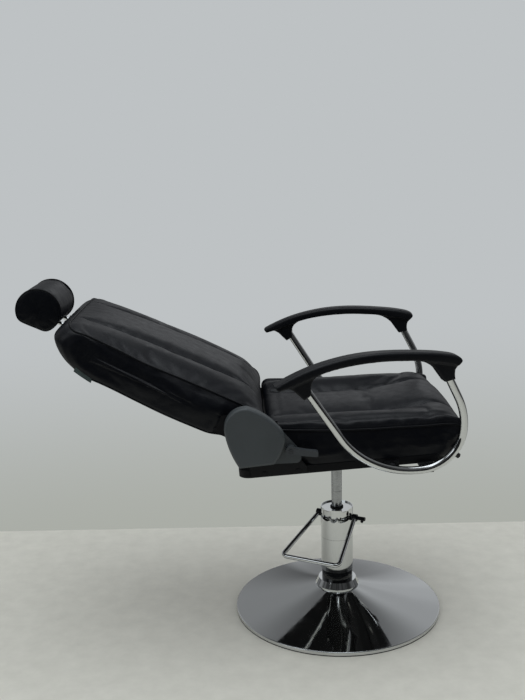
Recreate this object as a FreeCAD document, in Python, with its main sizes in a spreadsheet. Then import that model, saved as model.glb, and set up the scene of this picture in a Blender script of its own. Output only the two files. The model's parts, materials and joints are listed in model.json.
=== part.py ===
import FreeCAD, Part
import math
import os
from types import SimpleNamespace

import Sketcher
from FreeCAD import Placement, Rotation, Vector

doc = FreeCAD.newDocument("threading_chair")
dims = doc.addObject("Spreadsheet::Sheet", "dims")

# Driving dimensions, millimetres and degrees.
sizes = {
    # clearances and small common values
    "running_gap": 0.2,
    "soft_gap": 0.4,
    "fit_gap": 0.3,
    "overrun": 5,
    # base dish
    "base_diameter": 580,
    "rim_height": 12,
    "dish_sheet": 2.5,
    "dish_curve": 2000,
    "neck_diameter": 124,
    "neck_height": 66,
    "hub_hole_diameter": 60,
    "floor_ring_height": 3,
    "floor_ring_lip": 4,
    "floor_ring_width": 9.5,
    "casting_inset": 50,
    "casting_edge": 7,
    "casting_hub": 10.5,
    "casting_gap": 2.5,
    "base_bolt_offset": 42,
    "base_bolt_diameter": 8,
    "base_bolt_head": 15,
    "base_bolt_head_height": 6,
    # pump
    "flange_diameter": 110,
    "flange_thickness": 8,
    "collar_diameter": 122,
    "collar_height": 23,
    "collar_foot": 6,
    "tank_diameter": 86,
    "tank_wall": 4,
    "tank_height": 186,
    "cylinder_diameter": 54,
    "cylinder_wall": 3.5,
    "head_height": 44,
    "sleeve_diameter": 90,
    "sleeve_wall": 1.7,
    "sleeve_rise": 27,
    "head_cover_height": 88,
    "cover_seam_gap": 0.5,
    "head_cover_stand": 6,
    "cover_recess": 3.7,
    "cover_notch_width": 38,
    "cover_notch_depth": 28,
    "head_lug_gap": 5,
    "seal_width": 4,
    "seal_height": 3,
    "plunger_offset": 33,
    "plunger_diameter": 6,
    "plunger_length": 50,
    "plunger_spring_diameter": 9.4,
    "plunger_spring_wire": 1.2,
    "plunger_spring_pitch": 4.5,
    # ram
    "ram_diameter": 29,
    "ram_inside": 67,
    "ram_stand": 168,
    "ram_groove_rise": 45,
    "ram_groove_width": 2,
    "ram_groove_depth": 0.6,
    "piston_height": 16,
    # pedal
    "pedal_pivot_drop": 28.4,
    "pedal_turn": 28.5,
    "pedal_slope": 18,
    "pedal_reach": 197.6,
    "pedal_bar_half": 83,
    "pedal_pivot_half": 54,
    "pedal_rod_diameter": 12,
    "pedal_corner": 12,
    "pedal_boss_diameter": 20,
    "pedal_boss_length": 13,
    "pedal_lug_length": 24,
    "pedal_hook_length": 13,
    "pedal_pin_diameter": 10,
    "pedal_pin_depth": 16,
    # seat
    "seat_tilt": 3.5,
    "pan_rise": 26.5,
    "pan_thickness": 20,
    "pan_rear": 271,
    "pan_front": 252,
    "pan_corner": 30,
    "pan_edge_radius": 7,
    "plate_length": 160,
    "plate_width": 200,
    "plate_thickness": 6,
    "plate_bolt_length_offset": 64,
    "plate_bolt_width_offset": 82,
    "seat_bolt_diameter": 8,
    "seat_bolt_head": 14,
    "seat_bolt_head_height": 5,
    "seat_bolt_grip": 12,
    "socket_diameter": 44,
    "socket_length": 70,
    "swivel_cap_height": 6,
    "cushion_inset": 5.5,
    "cushion_rear": 192,
    "cushion_front": 310,
    "cushion_crown": 116,
    # arms
    "arm_tube_diameter": 20,
    "arm_tube_wall": 2,
    "arm_low_x": 170,
    "arm_low_gap": 25,
    "arm_low_rise": 2.1,
    "arm_toe_in": 7.9,
    "arm_lean": 9.7,
    "arm_rear_bend": 239,
    "arm_rear_turn": 56.4,
    "arm_flat": 9.5,
    "arm_front_bend": 104.5,
    "arm_upper_bend": 189,
    "arm_upper_turn": 27.7,
    "arm_rear_leg": 169,
    "arm_front_leg": 82,
    "arm_bar_width": 36,
    "arm_bar_rear_x": 112,
    "arm_bar_front_x": 198,
    "arm_bar_lug_height": 28,
    "arm_bar_lug_gap": 4.5,
    "arm_spacer_diameter": 18,
    "arm_bolt_diameter": 6,
    "arm_bolt_head": 12,
    "arm_bolt_head_height": 3,
    "bumper_turn": 53,
    "bumper_diameter": 13,
    "bumper_height": 8,
    "bumper_stem_diameter": 6,
    # arm pads
    "pad_mid_x": 42,
    "pad_mid_gap": 82.8,
    "pad_toe_in": 7.4,
    "pad_width": 44,
    "pad_edge_radius": 8,
    "pad_sleeve_width": 31,
    "pad_sleeve_radius": 7,
    "pad_length": 456,
    "pad_base_rise": 203.5,
    "pad_rise": 115,
    # recline hinge
    "pivot_inset": 21,
    "pivot_rise": 120.5,
    "back_lean": 65,
    "pivot_pin_diameter": 12,
    "pivot_head_diameter": 22,
    "pivot_head_height": 3,
    "back_arm_gap": 3,
    "back_arm_thickness": 4,
    "back_arm_boss": 48,
    "back_arm_length": 145,
    "back_arm_width": 26,
    "back_arm_screw_first": 66,
    "back_arm_screw_last": 132,
    "sector_radius": 78,
    "sector_tooth": 2.5,
    "sector_pitch": 4,
    "hinge_gap": 0.5,
    "hinge_plate_thickness": 4,
    "hinge_boss": 52,
    "pivot_cap_diameter": 36,
    "pivot_cap_height": 8,
    "screw_diameter": 5,
    "screw_head": 10,
    "screw_head_height": 2.5,
    "hinge_screw_length": 20,
    "lever_forward": 108,
    "lever_drop": 59,
    "lever_shaft_diameter": 10,
    "lever_hub_diameter": 25,
    "lever_depth": 15,
    "lever_reach": 68,
    "lever_screw_diameter": 10,
    "pawl_pad_radius": 95,
    "pawl_angle": -52,
    "pawl_arm_width": 14,
    # covers
    "cover_width": 151,
    "cover_height": 156,
    "cover_depth": 28,
    "cover_wall": 3,
    "cover_round": 7,
    "inner_cover_thickness": 5,
    # spiral spring
    "spiral_strip": 1.5,
    "spiral_pitch": 5,
    "spiral_inner_radius": 8,
    "spiral_width": 10,
    # backrest, upright in its own axes: X to the front, Z up along the back
    "back_half_width": 250,
    "back_top": 524,
    "back_front": 84,
    "back_rear": 43,
    "back_end_radius": 48,
    "back_top_corner": 54,
    "back_board_thickness": 12,
    "back_board_inset": 26,
    "back_board_bottom": 15,
    "back_board_drop": 126,
    "rear_panel_thickness": 5,
    "rear_panel_inset": 14,
    "rear_panel_bottom": 2,
    "rear_panel_drop": 132,
    "rear_panel_corner": 36,
    "back_screw_length": 18,
    # headrest
    "headrest_stand": 70.7,
    "headrest_forward": 29.5,
    "headrest_radius": 56,
    "headrest_flat": 12,
    "headrest_half_width": 102,
    "headrest_board_inset": 18,
    "headrest_board_height": 62,
    "headrest_board_thickness": 26,
    "post_diameter": 10,
    "post_spacing": 80,
    "post_forward": 8,
    "post_depth": 132,
    "post_socket": 30,
    "guide_diameter": 16,
    "guide_depth": 72,
    "guide_collar_diameter": 24,
    "guide_collar_height": 3,
    "guide_stand": 3,
}

for row, (alias, value) in enumerate(sizes.items(), start=1):
    dims.set("A%d" % row, alias)
    dims.set("B%d" % row, str(value))
    dims.setAlias("B%d" % row, alias)
doc.recompute()


class Size:
    """A length with the sheet expression that gives it."""

    def __init__(self, value, text):
        self.value = value
        self.text = text

    def __add__(self, other):
        return Size(self.value + number(other), "(%s + %s)" % (self.text, words(other)))

    def __sub__(self, other):
        return Size(self.value - number(other), "(%s - %s)" % (self.text, words(other)))

    def __neg__(self):
        return Size(-self.value, "(0 - %s)" % self.text)

    def __mul__(self, share):
        return Size(self.value * share, "(%s * %r)" % (self.text, share))

    def __truediv__(self, share):
        return Size(self.value / share, "(%s / %r)" % (self.text, share))


def number(item):
    return item.value if isinstance(item, Size) else float(item)


def words(item):
    return item.text if isinstance(item, Size) else repr(float(item))


# d holds each size with its expression, v its plain value.
d = SimpleNamespace(**{a: Size(float(dims.get(a)), "dims." + a) for a in sizes})
v = SimpleNamespace(**{a: float(dims.get(a)) for a in sizes})


def follows(name, size):
    """A size worked out from the ones in the sheet."""
    setattr(d, name, size)
    setattr(v, name, size.value)


# heights up the pump, the ram and the seat
follows("casting_diameter", d.base_diameter - d.casting_inset * 2)
follows("sleeve_bottom", d.neck_height + d.collar_height + d.sleeve_rise)
follows("tank_top", d.neck_height + d.tank_height)
follows("head_top", d.tank_top + d.head_height)
follows("cover_top", d.head_top + d.head_cover_stand)
follows("cover_seam", d.cover_top - d.head_cover_height)
follows("pedal_pivot_height", d.cover_top - d.pedal_pivot_drop)
follows("ram_bottom", d.tank_top - d.ram_inside)
follows("ram_groove_height", d.cover_top + d.ram_groove_rise)
follows("ram_top", d.cover_top + d.ram_stand)
follows("pan_height", d.ram_top + d.pan_rise)
follows("arm_low_height", d.pan_height + d.arm_low_rise)
follows("pad_base_height", d.pan_height + d.pad_base_rise)
follows("pivot_height", d.pan_height + d.pivot_rise)
follows("pivot_x", d.pivot_inset - d.pan_rear)
follows("lever_height", d.pivot_height - d.lever_drop)
follows("lever_x", d.pivot_x + d.lever_forward)
# widths, from the back outwards
follows("back_arm_side", d.back_half_width + d.back_arm_gap)
follows("pan_half_width", d.back_arm_side + d.back_arm_thickness + d.hinge_gap)
follows("cushion_half_width", d.pan_half_width - d.cushion_inset)
follows("arm_bar_lug_side", d.pan_half_width + d.arm_bar_lug_gap)
follows("arm_low_side", d.pan_half_width + d.arm_low_gap)
follows("pad_mid_side", d.pan_half_width + d.pad_mid_gap)
# up the back
follows("back_board_half_width", d.back_half_width - d.back_board_inset)
follows("rear_panel_half_width", d.back_half_width - d.rear_panel_inset)
follows("back_board_top", d.back_top - d.back_board_drop)
follows("rear_panel_top", d.back_top - d.rear_panel_drop)
follows("post_bottom", d.back_top - d.post_depth)
follows("guide_bottom", d.back_top - d.guide_depth)
follows("headrest_height", d.back_top + d.headrest_stand)
follows("headrest_board_half_width", d.headrest_half_width - d.headrest_board_inset)

nodes = []


def keep(obj, label):
    """Name an object and hand it in as one node."""
    obj.Label = label
    nodes.append(obj)
    return obj


def shape_node(label, shape, placement=None):
    obj = doc.addObject("Part::Feature", label)
    obj.Shape = shape
    if placement:
        obj.Placement = placement
    return keep(obj, label)


def joined(shapes):
    whole = shapes[0]
    for other in shapes[1:]:
        whole = whole.fuse(other)
    return whole.removeSplitter()


# Sketches whose points and radii are bound to the sheet.
def pin_point(sketch, geo, pos, x, y):
    for item, kind, axis in ((x, "DistanceX", -2), (y, "DistanceY", -1)):
        if abs(number(item)) > 1e-9:
            index = sketch.addConstraint(Sketcher.Constraint(kind, -1, 1, geo, pos, number(item)))
            sketch.setExpression("Constraints[%d]" % index, words(item))
        else:
            sketch.addConstraint(Sketcher.Constraint("PointOnObject", geo, pos, axis))


def arc_middle(start, end, radius):
    """The middle of an arc from start to end; a positive radius bulges to the left of the way."""
    chord = end - start
    left = Vector(-chord.y, chord.x, 0).normalize()
    half = chord.Length / 2
    sagitta = abs(radius) - math.sqrt(radius * radius - half * half)
    return (start + end) / 2 + left * math.copysign(sagitta, radius)


def draw_outline(sketch, outline):
    """Outline points are (x, y), or (x, y, radius) where an arc leads to the next point."""
    places = [Vector(number(p[0]), number(p[1]), 0) for p in outline]
    first = sketch.GeometryCount
    starts = []
    ends = []
    for i, point in enumerate(outline):
        start, end = places[i], places[(i + 1) % len(places)]
        if len(point) == 2:
            sketch.addGeometry(Part.LineSegment(start, end))
            starts.append(1)
            ends.append(2)
            continue
        middle = arc_middle(start, end, number(point[2]))
        clockwise = number(point[2]) > 0
        if clockwise:
            start, end = end, start
        sketch.addGeometry(Part.Arc(start, middle, end))
        starts.append(2 if clockwise else 1)
        ends.append(1 if clockwise else 2)
    for i, point in enumerate(outline):
        after = (i + 1) % len(outline)
        sketch.addConstraint(
            Sketcher.Constraint("Coincident", first + i, ends[i], first + after, starts[after])
        )
        pin_point(sketch, first + i, starts[i], point[0], point[1])
        if len(point) == 3:
            radius = point[2] if number(point[2]) > 0 else -point[2]
            index = sketch.addConstraint(
                Sketcher.Constraint("Radius", first + i, number(radius))
            )
            sketch.setExpression("Constraints[%d]" % index, words(radius))


def draw_hole(sketch, x, y, radius):
    centre = Vector(number(x), number(y), 0)
    geo = sketch.addGeometry(Part.Circle(centre, Vector(0, 0, 1), number(radius)))
    pin_point(sketch, geo, 3, x, y)
    index = sketch.addConstraint(Sketcher.Constraint("Radius", geo, number(radius)))
    sketch.setExpression("Constraints[%d]" % index, words(radius))


def sketch_on(body, role, outline=(), holes=()):
    plane = next(f for f in body.Origin.OriginFeatures if f.Role == role)
    sketch = body.newObject("Sketcher::SketchObject", body.Name + "_sketch")
    sketch.AttachmentSupport = [(plane, "")]
    sketch.MapMode = "FlatFace"
    doc.recompute()
    if outline:
        draw_outline(sketch, outline)
    for hole in holes:
        draw_hole(sketch, *hole)
    doc.recompute()
    return sketch


def turned(label, outline):
    """A body turned about Z; the outline is (radius, height) points."""
    body = doc.addObject("PartDesign::Body", label)
    sketch = sketch_on(body, "XZ_Plane", outline)
    turn = body.newObject("PartDesign::Revolution", label + "_turn")
    turn.Profile = sketch
    turn.ReferenceAxis = (sketch, ["V_Axis"])
    turn.Angle = 360
    doc.recompute()
    return keep(body, label)


def ring(label, inner, outer, bottom, top):
    return turned(label, [(inner, bottom), (outer, bottom), (outer, top), (inner, top)])


def drill(body, holes):
    """Holes along Z right through a body, on its XY plane."""
    sketch = sketch_on(body, "XY_Plane", (), holes)
    pocket = body.newObject("PartDesign::Pocket", body.Name + "_drill")
    pocket.Profile = sketch
    pocket.Type = 1
    pocket.Midplane = True
    doc.recompute()


def plate(label, role, outline, thickness, offset, holes=(), placement=None):
    """A flat plate: outline in the plane, offset along the plane's normal."""
    body = doc.addObject("PartDesign::Body", label)
    sketch = sketch_on(body, role, outline, holes)
    axis = "z"
    sketch.setExpression("AttachmentOffset.Base." + axis, words(offset))
    pad = body.newObject("PartDesign::Pad", label + "_pad")
    pad.Profile = sketch
    pad.Length = number(thickness)
    pad.setExpression("Length", words(thickness))
    doc.recompute()
    if placement:
        body.Placement = placement
    return keep(body, label)


def rod(start, end, radius):
    """A round bar between two points."""
    way = end - start
    return Part.makeCylinder(radius, way.Length, start, way)


# base dish, floor ring and casting
rim = d.base_diameter / 2
neck = d.neck_diameter / 2
hub = d.hub_hole_diameter / 2
base_disc = turned("base_disc", [
    (hub, d.neck_height - d.dish_sheet),
    (neck, d.neck_height - d.dish_sheet, -d.dish_curve),
    (rim - d.dish_sheet, d.rim_height - d.dish_sheet),
    (rim - d.dish_sheet, d.floor_ring_height),
    (rim, d.floor_ring_height),
    (rim, d.rim_height - d.dish_sheet, -d.dish_sheet),
    (rim - d.dish_sheet, d.rim_height, d.dish_curve),
    (neck, d.neck_height),
    (hub, d.neck_height),
])
ring_inner = rim - d.floor_ring_width
turned("base_floor_ring", [
    (ring_inner, d.floor_ring_height * 0),
    (rim - d.fit_gap, d.floor_ring_height * 0),
    (rim - d.fit_gap, d.floor_ring_height),
    (rim - d.dish_sheet - d.fit_gap, d.floor_ring_height),
    (rim - d.dish_sheet - d.fit_gap, d.floor_ring_height + d.floor_ring_lip),
    (ring_inner, d.floor_ring_height + d.floor_ring_lip),
])



def under_dish(radius):
    """Height of the dish's underside at a radius."""
    start = Vector(v.neck_diameter / 2, 0, v.neck_height - v.dish_sheet)
    end = Vector(v.base_diameter / 2 - v.dish_sheet, 0, v.rim_height - v.dish_sheet)
    half = (end - start) / 2
    rise = math.sqrt(v.dish_curve ** 2 - half.Length ** 2)
    middle = start + half + Vector(-half.z, 0, half.x).normalize() * rise
    return middle.z - math.sqrt(v.dish_curve ** 2 - (radius - middle.x) ** 2)


# The casting's flange lies a set gap under the dish, whatever the dish's width.
casting_rim = d.casting_diameter / 2
casting_top = d.neck_height - d.dish_sheet
casting_flange = under_dish(v.casting_diameter / 2) - v.casting_gap
base_casting = turned("base_casting", [
    (hub, casting_top - d.casting_hub),
    (neck * 0.88, casting_top - d.casting_hub),
    (neck * 1.16, casting_top * 0.56),
    (casting_rim * 0.42, d.floor_ring_height * 3.4),
    (casting_rim, casting_flange - v.casting_edge),
    (casting_rim, casting_flange),
    (casting_rim * 0.5, casting_top * 0.38),
    (neck * 1.26, casting_top * 0.72),
    (neck * 0.97, casting_top),
    (hub, casting_top),
])


def bolt_circle(radius):
    a = d.base_bolt_offset
    return [(a, 0, radius), (-a, 0, radius), (0, a, radius), (0, -a, radius)]


bolt_hole = d.base_bolt_diameter / 2 + d.running_gap
pump_flange = turned("pump_flange", [
    (0, d.neck_height),
    (d.flange_diameter / 2, d.neck_height),
    (d.flange_diameter / 2, d.neck_height + d.flange_thickness),
    (0, d.neck_height + d.flange_thickness),
])
for part in (base_disc, base_casting, pump_flange):
    drill(part, bolt_circle(bolt_hole))

bolt_seat = v.neck_height - v.dish_sheet - v.casting_hub
base_bolts = []
for turn in range(4):
    way = Rotation(Vector(0, 0, 1), 90 * turn).multVec(Vector(v.base_bolt_offset, 0, bolt_seat))
    head = Part.makeCylinder(
        v.base_bolt_head / 2, v.base_bolt_head_height, way, Vector(0, 0, -1)
    )
    shank = Part.makeCylinder(
        v.base_bolt_diameter / 2,
        v.casting_hub + v.dish_sheet + v.flange_thickness,
        way,
    )
    base_bolts.append(joined([head, shank]))
shape_node("base_bolts", Part.makeCompound(base_bolts))

# pump
collar_top = d.neck_height + d.collar_height
tank = d.tank_diameter / 2
turned("base_collar", [
    (d.flange_diameter / 2 + d.fit_gap, d.neck_height),
    (d.collar_diameter / 2, d.neck_height),
    (d.collar_diameter / 2, d.neck_height + d.collar_foot),
    (tank + d.collar_height * 0.42, collar_top),
    (tank + d.fit_gap, collar_top),
    (tank + d.fit_gap, collar_top - d.collar_foot * 0.5),
    (d.flange_diameter / 2 + d.fit_gap, d.neck_height + d.flange_thickness + d.fit_gap),
])
tank_foot = d.neck_height + d.flange_thickness
ring("pump_tank", tank - d.tank_wall, tank, tank_foot, d.tank_top)
bore = d.cylinder_diameter / 2 - d.cylinder_wall
ring("pump_cylinder", bore, d.cylinder_diameter / 2, tank_foot, d.tank_top)

pedal_out = Rotation(Vector(0, 0, 1), -v.pedal_turn).multVec(Vector(0, -1, 0))
pedal_axis = Rotation(Vector(0, 0, 1), -v.pedal_turn).multVec(Vector(1, 0, 0))
pedal_centre = Vector(0, 0, v.pedal_pivot_height)
ram_bore = v.ram_diameter / 2 + v.running_gap
# The head is a turned block on a wider foot, with a round lug behind each notch of its cover.
head_radius = v.tank_diameter / 2 - v.sleeve_wall / 4
head_foot = v.head_height - v.cover_notch_depth - v.head_lug_gap
head = joined([
    Part.makeCylinder(head_radius, head_foot, Vector(0, 0, v.tank_top)),
    Part.makeCylinder(
        head_radius - v.head_lug_gap, v.head_top - v.tank_top, Vector(0, 0, v.tank_top)
    ),
])
notch_turns = (-48, 27)
notch_low = v.head_top - v.cover_notch_depth + v.cover_notch_width / 2
lug_r = v.cover_notch_width / 2 - v.head_lug_gap


def upright_slot(turn, radius, inner, outer):
    """A slab with a round foot, reaching outward from the pump's axis up to the head's top."""
    outward = Rotation(Vector(0, 0, 1), turn).multVec(Vector(0, -1, 0))
    foot = Vector(0, 0, notch_low)
    block = Part.makeBox(2 * radius, outer - inner, v.head_top - notch_low, Vector(-radius, -outer, 0))
    block.Placement = Placement(foot, Rotation(Vector(0, 0, 1), turn))
    return rod(foot + outward * inner, foot + outward * outer, radius).fuse(block).removeSplitter()


head_reach = Part.makeCylinder(head_radius, v.head_top, Vector(0, 0, 0))
for turn in notch_turns:
    head = head.fuse(upright_slot(turn, lug_r, v.ram_diameter / 2, v.tank_diameter).common(head_reach))
head = head.removeSplitter()
head = head.cut(Part.makeCylinder(ram_bore, v.head_top, Vector(0, 0, 0)))
pin_inner = v.pedal_pivot_half - v.pedal_boss_length / 2 - v.pedal_pin_depth
for side in (-1, 1):
    head = head.cut(rod(
        pedal_centre + pedal_axis * side * pin_inner,
        pedal_centre + pedal_axis * side * v.base_diameter / 2,
        v.pedal_pin_diameter / 2 + v.running_gap,
    ))
plunger_at = pedal_out * v.plunger_offset + Vector(0, 0, v.tank_top)
plunger_bore = Part.makeCylinder(
    v.plunger_diameter / 2 + v.running_gap, v.plunger_length / 4, plunger_at
)
shape_node("pump_head", head.cut(plunger_bore).removeSplitter())

plunger_foot = plunger_at - Vector(0, 0, v.plunger_length * 3 / 4)
plunger = rod(plunger_foot, plunger_foot + Vector(0, 0, v.plunger_length), v.plunger_diameter / 2)
plunger_collar = Part.makeCylinder(
    v.plunger_spring_diameter / 2, v.plunger_diameter / 2, plunger_foot
)
shape_node("pump_plunger", joined([plunger, plunger_collar]))

# The return spring is coiled round the plunger between its collar and the head.
spring_foot = v.plunger_diameter / 2 + v.plunger_spring_wire / 2 + v.running_gap
spring_length = v.plunger_length * 3 / 4 - 2 * spring_foot + v.plunger_diameter / 2
spring_radius = (v.plunger_spring_diameter - v.plunger_spring_wire) / 2
coil = Part.makeHelix(v.plunger_spring_pitch, spring_length, spring_radius)
coil_wire = Part.Wire([Part.Circle(
    Vector(spring_radius, 0, 0), Vector(0, 1, 0), v.plunger_spring_wire / 2
).toShape()])
coil_solid = Part.Wire(coil.Edges).makePipeShell([coil_wire], True, True)
shape_node("plunger_spring", coil_solid, Placement(
    plunger_foot + Vector(0, 0, spring_foot), Rotation()
))

sleeve = d.sleeve_diameter / 2
ring("pump_sleeve", sleeve - d.sleeve_wall, sleeve, d.sleeve_bottom, d.cover_seam - d.cover_seam_gap)

# The head cover is a chromed cap, recessed on top, with two notches in its skirt.
recess = v.cover_top - v.cover_recess
cap = Part.makeCylinder(v.sleeve_diameter / 2, v.cover_top - v.cover_seam, Vector(0, 0, v.cover_seam))
cap = cap.cut(Part.makeCylinder(
    v.sleeve_diameter / 2 - v.sleeve_wall, v.head_top - v.cover_seam + v.fit_gap,
    Vector(0, 0, v.cover_seam),
))
cap = cap.cut(Part.makeCylinder(
    v.sleeve_diameter / 2 - v.sleeve_wall, v.cover_recess + v.overrun, Vector(0, 0, recess)
))
cap = cap.cut(Part.makeCylinder(
    v.ram_diameter / 2 + v.seal_width, v.cover_top, Vector(0, 0, 0)
))
for side in (-1, 1):
    cap = cap.cut(rod(
        pedal_centre, pedal_centre + pedal_axis * side * v.base_diameter / 2,
        v.pedal_pin_diameter / 2 + v.fit_gap * 3,
    ))
for turn in notch_turns:
    cap = cap.cut(upright_slot(
        turn, v.cover_notch_width / 2, v.sleeve_diameter / 2 - v.sleeve_wall * 2, v.sleeve_diameter
    ))
shape_node("pump_head_cover", cap.removeSplitter())
ring(
    "ram_seal", d.ram_diameter / 2 + d.running_gap, d.ram_diameter / 2 + d.seal_width - d.running_gap,
    d.head_top, d.cover_top - d.cover_recess + d.seal_height,
)

# ram
ram = d.ram_diameter / 2
groove = ram - d.ram_groove_depth
turned("ram", [
    (0, d.ram_bottom + d.piston_height),
    (ram, d.ram_bottom + d.piston_height),
    (ram, d.ram_groove_height),
    (groove, d.ram_groove_height),
    (groove, d.ram_groove_height + d.ram_groove_width),
    (ram, d.ram_groove_height + d.ram_groove_width),
    (ram, d.ram_top),
    (0, d.ram_top),
])
turned("ram_piston", [
    (0, d.ram_bottom),
    (bore - d.running_gap, d.ram_bottom),
    (bore - d.running_gap, d.ram_bottom + d.piston_height),
    (0, d.ram_bottom + d.piston_height),
])

# pedal: a bent rod in a sloping plane, with a black boss at each end
rod_r = v.pedal_rod_diameter / 2
slope = math.radians(v.pedal_slope)
down_way = pedal_out * math.cos(slope) - Vector(0, 0, math.sin(slope))


def on_pedal(along, out):
    return pedal_centre + pedal_axis * along + down_way * out


def rounded_path(points, radius):
    """Straight runs through the points, joined by tangent arcs of one radius."""
    edges = []
    at = points[0]
    for before, corner, after in zip(points, points[1:], points[2:]):
        into = (before - corner).normalize()
        out = (after - corner).normalize()
        half = into.getAngle(out) / 2
        back = radius / math.tan(half)
        centre = corner + (into + out).normalize() * (radius / math.sin(half))
        start, end = corner + into * back, corner + out * back
        middle = centre + (corner - centre).normalize() * radius
        edges.append(Part.LineSegment(at, start).toShape())
        edges.append(Part.Arc(start, middle, end).toShape())
        at = end
    edges.append(Part.LineSegment(at, points[-1]).toShape())
    return Part.Wire(edges)


def bar_along(path, radius):
    start = path.OrderedVertexes[0].Point
    first = path.OrderedEdges[0]
    way = first.tangentAt(first.FirstParameter)
    if (first.valueAt(first.FirstParameter) - start).Length > 1e-6:
        way = -first.tangentAt(first.LastParameter)
    section = Part.Wire([Part.Circle(start, way, radius).toShape()])
    return path.makePipeShell([section], True, False)


pivot_half = v.pedal_pivot_half
boss_r = v.pedal_boss_diameter / 2
rod_start = boss_r * 0.6
lean_out = (v.pedal_bar_half - pivot_half) * rod_start / v.pedal_reach
stirrup = bar_along(rounded_path([
    on_pedal(-pivot_half - lean_out, rod_start),
    on_pedal(-v.pedal_bar_half, v.pedal_reach),
    on_pedal(v.pedal_bar_half, v.pedal_reach),
    on_pedal(pivot_half + lean_out, rod_start),
], v.pedal_corner), rod_r)
bosses = []
pins = []
for side in (-1, 1):
    inner = pedal_axis * side * (pivot_half - v.pedal_boss_length / 2)
    outer = pedal_axis * side * (pivot_half + v.pedal_boss_length / 2)
    boss = rod(pedal_centre + inner, pedal_centre + outer, boss_r)
    if side > 0:
        tip = outer + pedal_axis * v.pedal_lug_length
        lug = rod(pedal_centre + outer, pedal_centre + tip, boss_r * 0.55)
        hook = rod(
            pedal_centre + tip - pedal_axis * boss_r * 0.5,
            pedal_centre + tip - pedal_axis * boss_r * 0.5 + down_way * v.pedal_hook_length,
            boss_r * 0.4,
        )
        boss = joined([boss, lug, hook])
    pin = rod(
        pedal_centre + pedal_axis * side * (pin_inner + v.fit_gap),
        pedal_centre + outer - pedal_axis * side * v.pedal_boss_length * 0.25,
        v.pedal_pin_diameter / 2,
    )
    bosses.append(boss.cut(pin))
    pins.append(pin)
whole_bosses = Part.makeCompound([b.cut(stirrup) for b in bosses])
stirrup = stirrup.cut(Part.makeCompound(pins))
shape_node("pedal_stirrup", stirrup)
shape_node("pedal_bosses", whole_bosses)
shape_node("pedal_pins", Part.makeCompound(pins))

# seat pan and its steel, in axes tilted with the seat
seat_place = Placement(
    Vector(0, 0, v.pan_height), Rotation(Vector(0, 1, 0), -v.seat_tilt)
)
plate_x = d.plate_bolt_length_offset
plate_y = d.plate_bolt_width_offset
seat_bolt_hole = d.seat_bolt_diameter / 2 + d.running_gap
seat_holes = [
    (plate_x, plate_y, seat_bolt_hole), (-plate_x, plate_y, seat_bolt_hole),
    (plate_x, -plate_y, seat_bolt_hole), (-plate_x, -plate_y, seat_bolt_hole),
]
half_length = d.plate_length / 2
half_width = d.plate_width / 2
plate("seat_mount_plate", "XY_Plane", [
    (-half_length, -half_width), (half_length, -half_width),
    (half_length, half_width), (-half_length, half_width),
], d.plate_thickness, -d.plate_thickness, seat_holes, seat_place)

bar_screw_y = d.pan_half_width * 0.7
bar_holes = [
    (x, y, d.screw_diameter / 2 + d.running_gap)
    for x in (d.arm_bar_rear_x, d.arm_bar_front_x)
    for y in (bar_screw_y, -bar_screw_y)
]
corner = d.pan_corner
seat_pan = plate("seat_pan", "XY_Plane", [
    (-d.pan_rear + corner, -d.pan_half_width), (d.pan_front - corner, -d.pan_half_width, -corner),
    (d.pan_front, -d.pan_half_width + corner), (d.pan_front, d.pan_half_width - corner, -corner),
    (d.pan_front - corner, d.pan_half_width), (-d.pan_rear + corner, d.pan_half_width, -corner),
    (-d.pan_rear, d.pan_half_width - corner), (-d.pan_rear, -d.pan_half_width + corner, -corner),
], d.pan_thickness, d.pan_thickness * 0, seat_holes + bar_holes, seat_place)


def seat_point(x, y, z):
    return seat_place.multVec(Vector(x, y, z))


def seat_way(x, y, z):
    return seat_place.Rotation.multVec(Vector(x, y, z))


def headed_bolt(seat, way, head_radius, head_height, radius, length):
    """A bolt whose head stands on seat and whose shank runs along way."""
    head = Part.makeCylinder(head_radius, head_height, seat, way * -1)
    shank = Part.makeCylinder(radius, length, seat, way)
    return joined([head, shank])


shape_node("seat_bolts", Part.makeCompound([
    headed_bolt(
        seat_point(sx * v.plate_bolt_length_offset, sy * v.plate_bolt_width_offset, -v.plate_thickness),
        seat_way(0, 0, 1), v.seat_bolt_head / 2, v.seat_bolt_head_height,
        v.seat_bolt_diameter / 2, v.plate_thickness + v.seat_bolt_grip,
    )
    for sx in (-1, 1) for sy in (-1, 1)
]))

# The socket's top is cut to the tilted plate.
socket_foot = Vector(0, 0, v.pan_height - v.plate_thickness - v.socket_length)
socket_hole = v.ram_diameter / 2 + v.fit_gap
socket = Part.makeCylinder(v.socket_diameter / 2, 2 * v.socket_length, socket_foot)
socket = socket.cut(Part.makeCylinder(socket_hole, 2 * v.socket_length, socket_foot))
above_plate = Part.makeBox(
    v.plate_length, v.plate_width, 2 * v.socket_length,
    Vector(-v.plate_length / 2, -v.plate_width / 2, -v.plate_thickness),
)
above_plate.Placement = seat_place
shape_node("swivel_socket", socket.cut(above_plate))
ring(
    "swivel_cap", d.ram_groove_depth * 0, d.ram_diameter / 2 + d.fit_gap,
    d.ram_top, d.ram_top + d.swivel_cap_height,
)


# Each arm bar is a flat bar under the pan with a lug at each end, level with the arm tube.
loop_turn = math.radians(v.arm_rear_turn)
upper_turn = math.radians(v.arm_upper_turn)


def loop_place(side):
    """The plane of an arm tube: side is -1 for the sitter's right, 1 for the left."""
    lean = Rotation(Vector(0, 0, 1), -side * v.arm_toe_in)
    lean = lean.multiply(Rotation(Vector(1, 0, 0), -side * v.arm_lean))
    return Placement(Vector(v.arm_low_x, side * v.arm_low_side, v.arm_low_height), lean)


def loop_point(side, along, up):
    return loop_place(side).multVec(Vector(along, 0, up))


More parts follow.
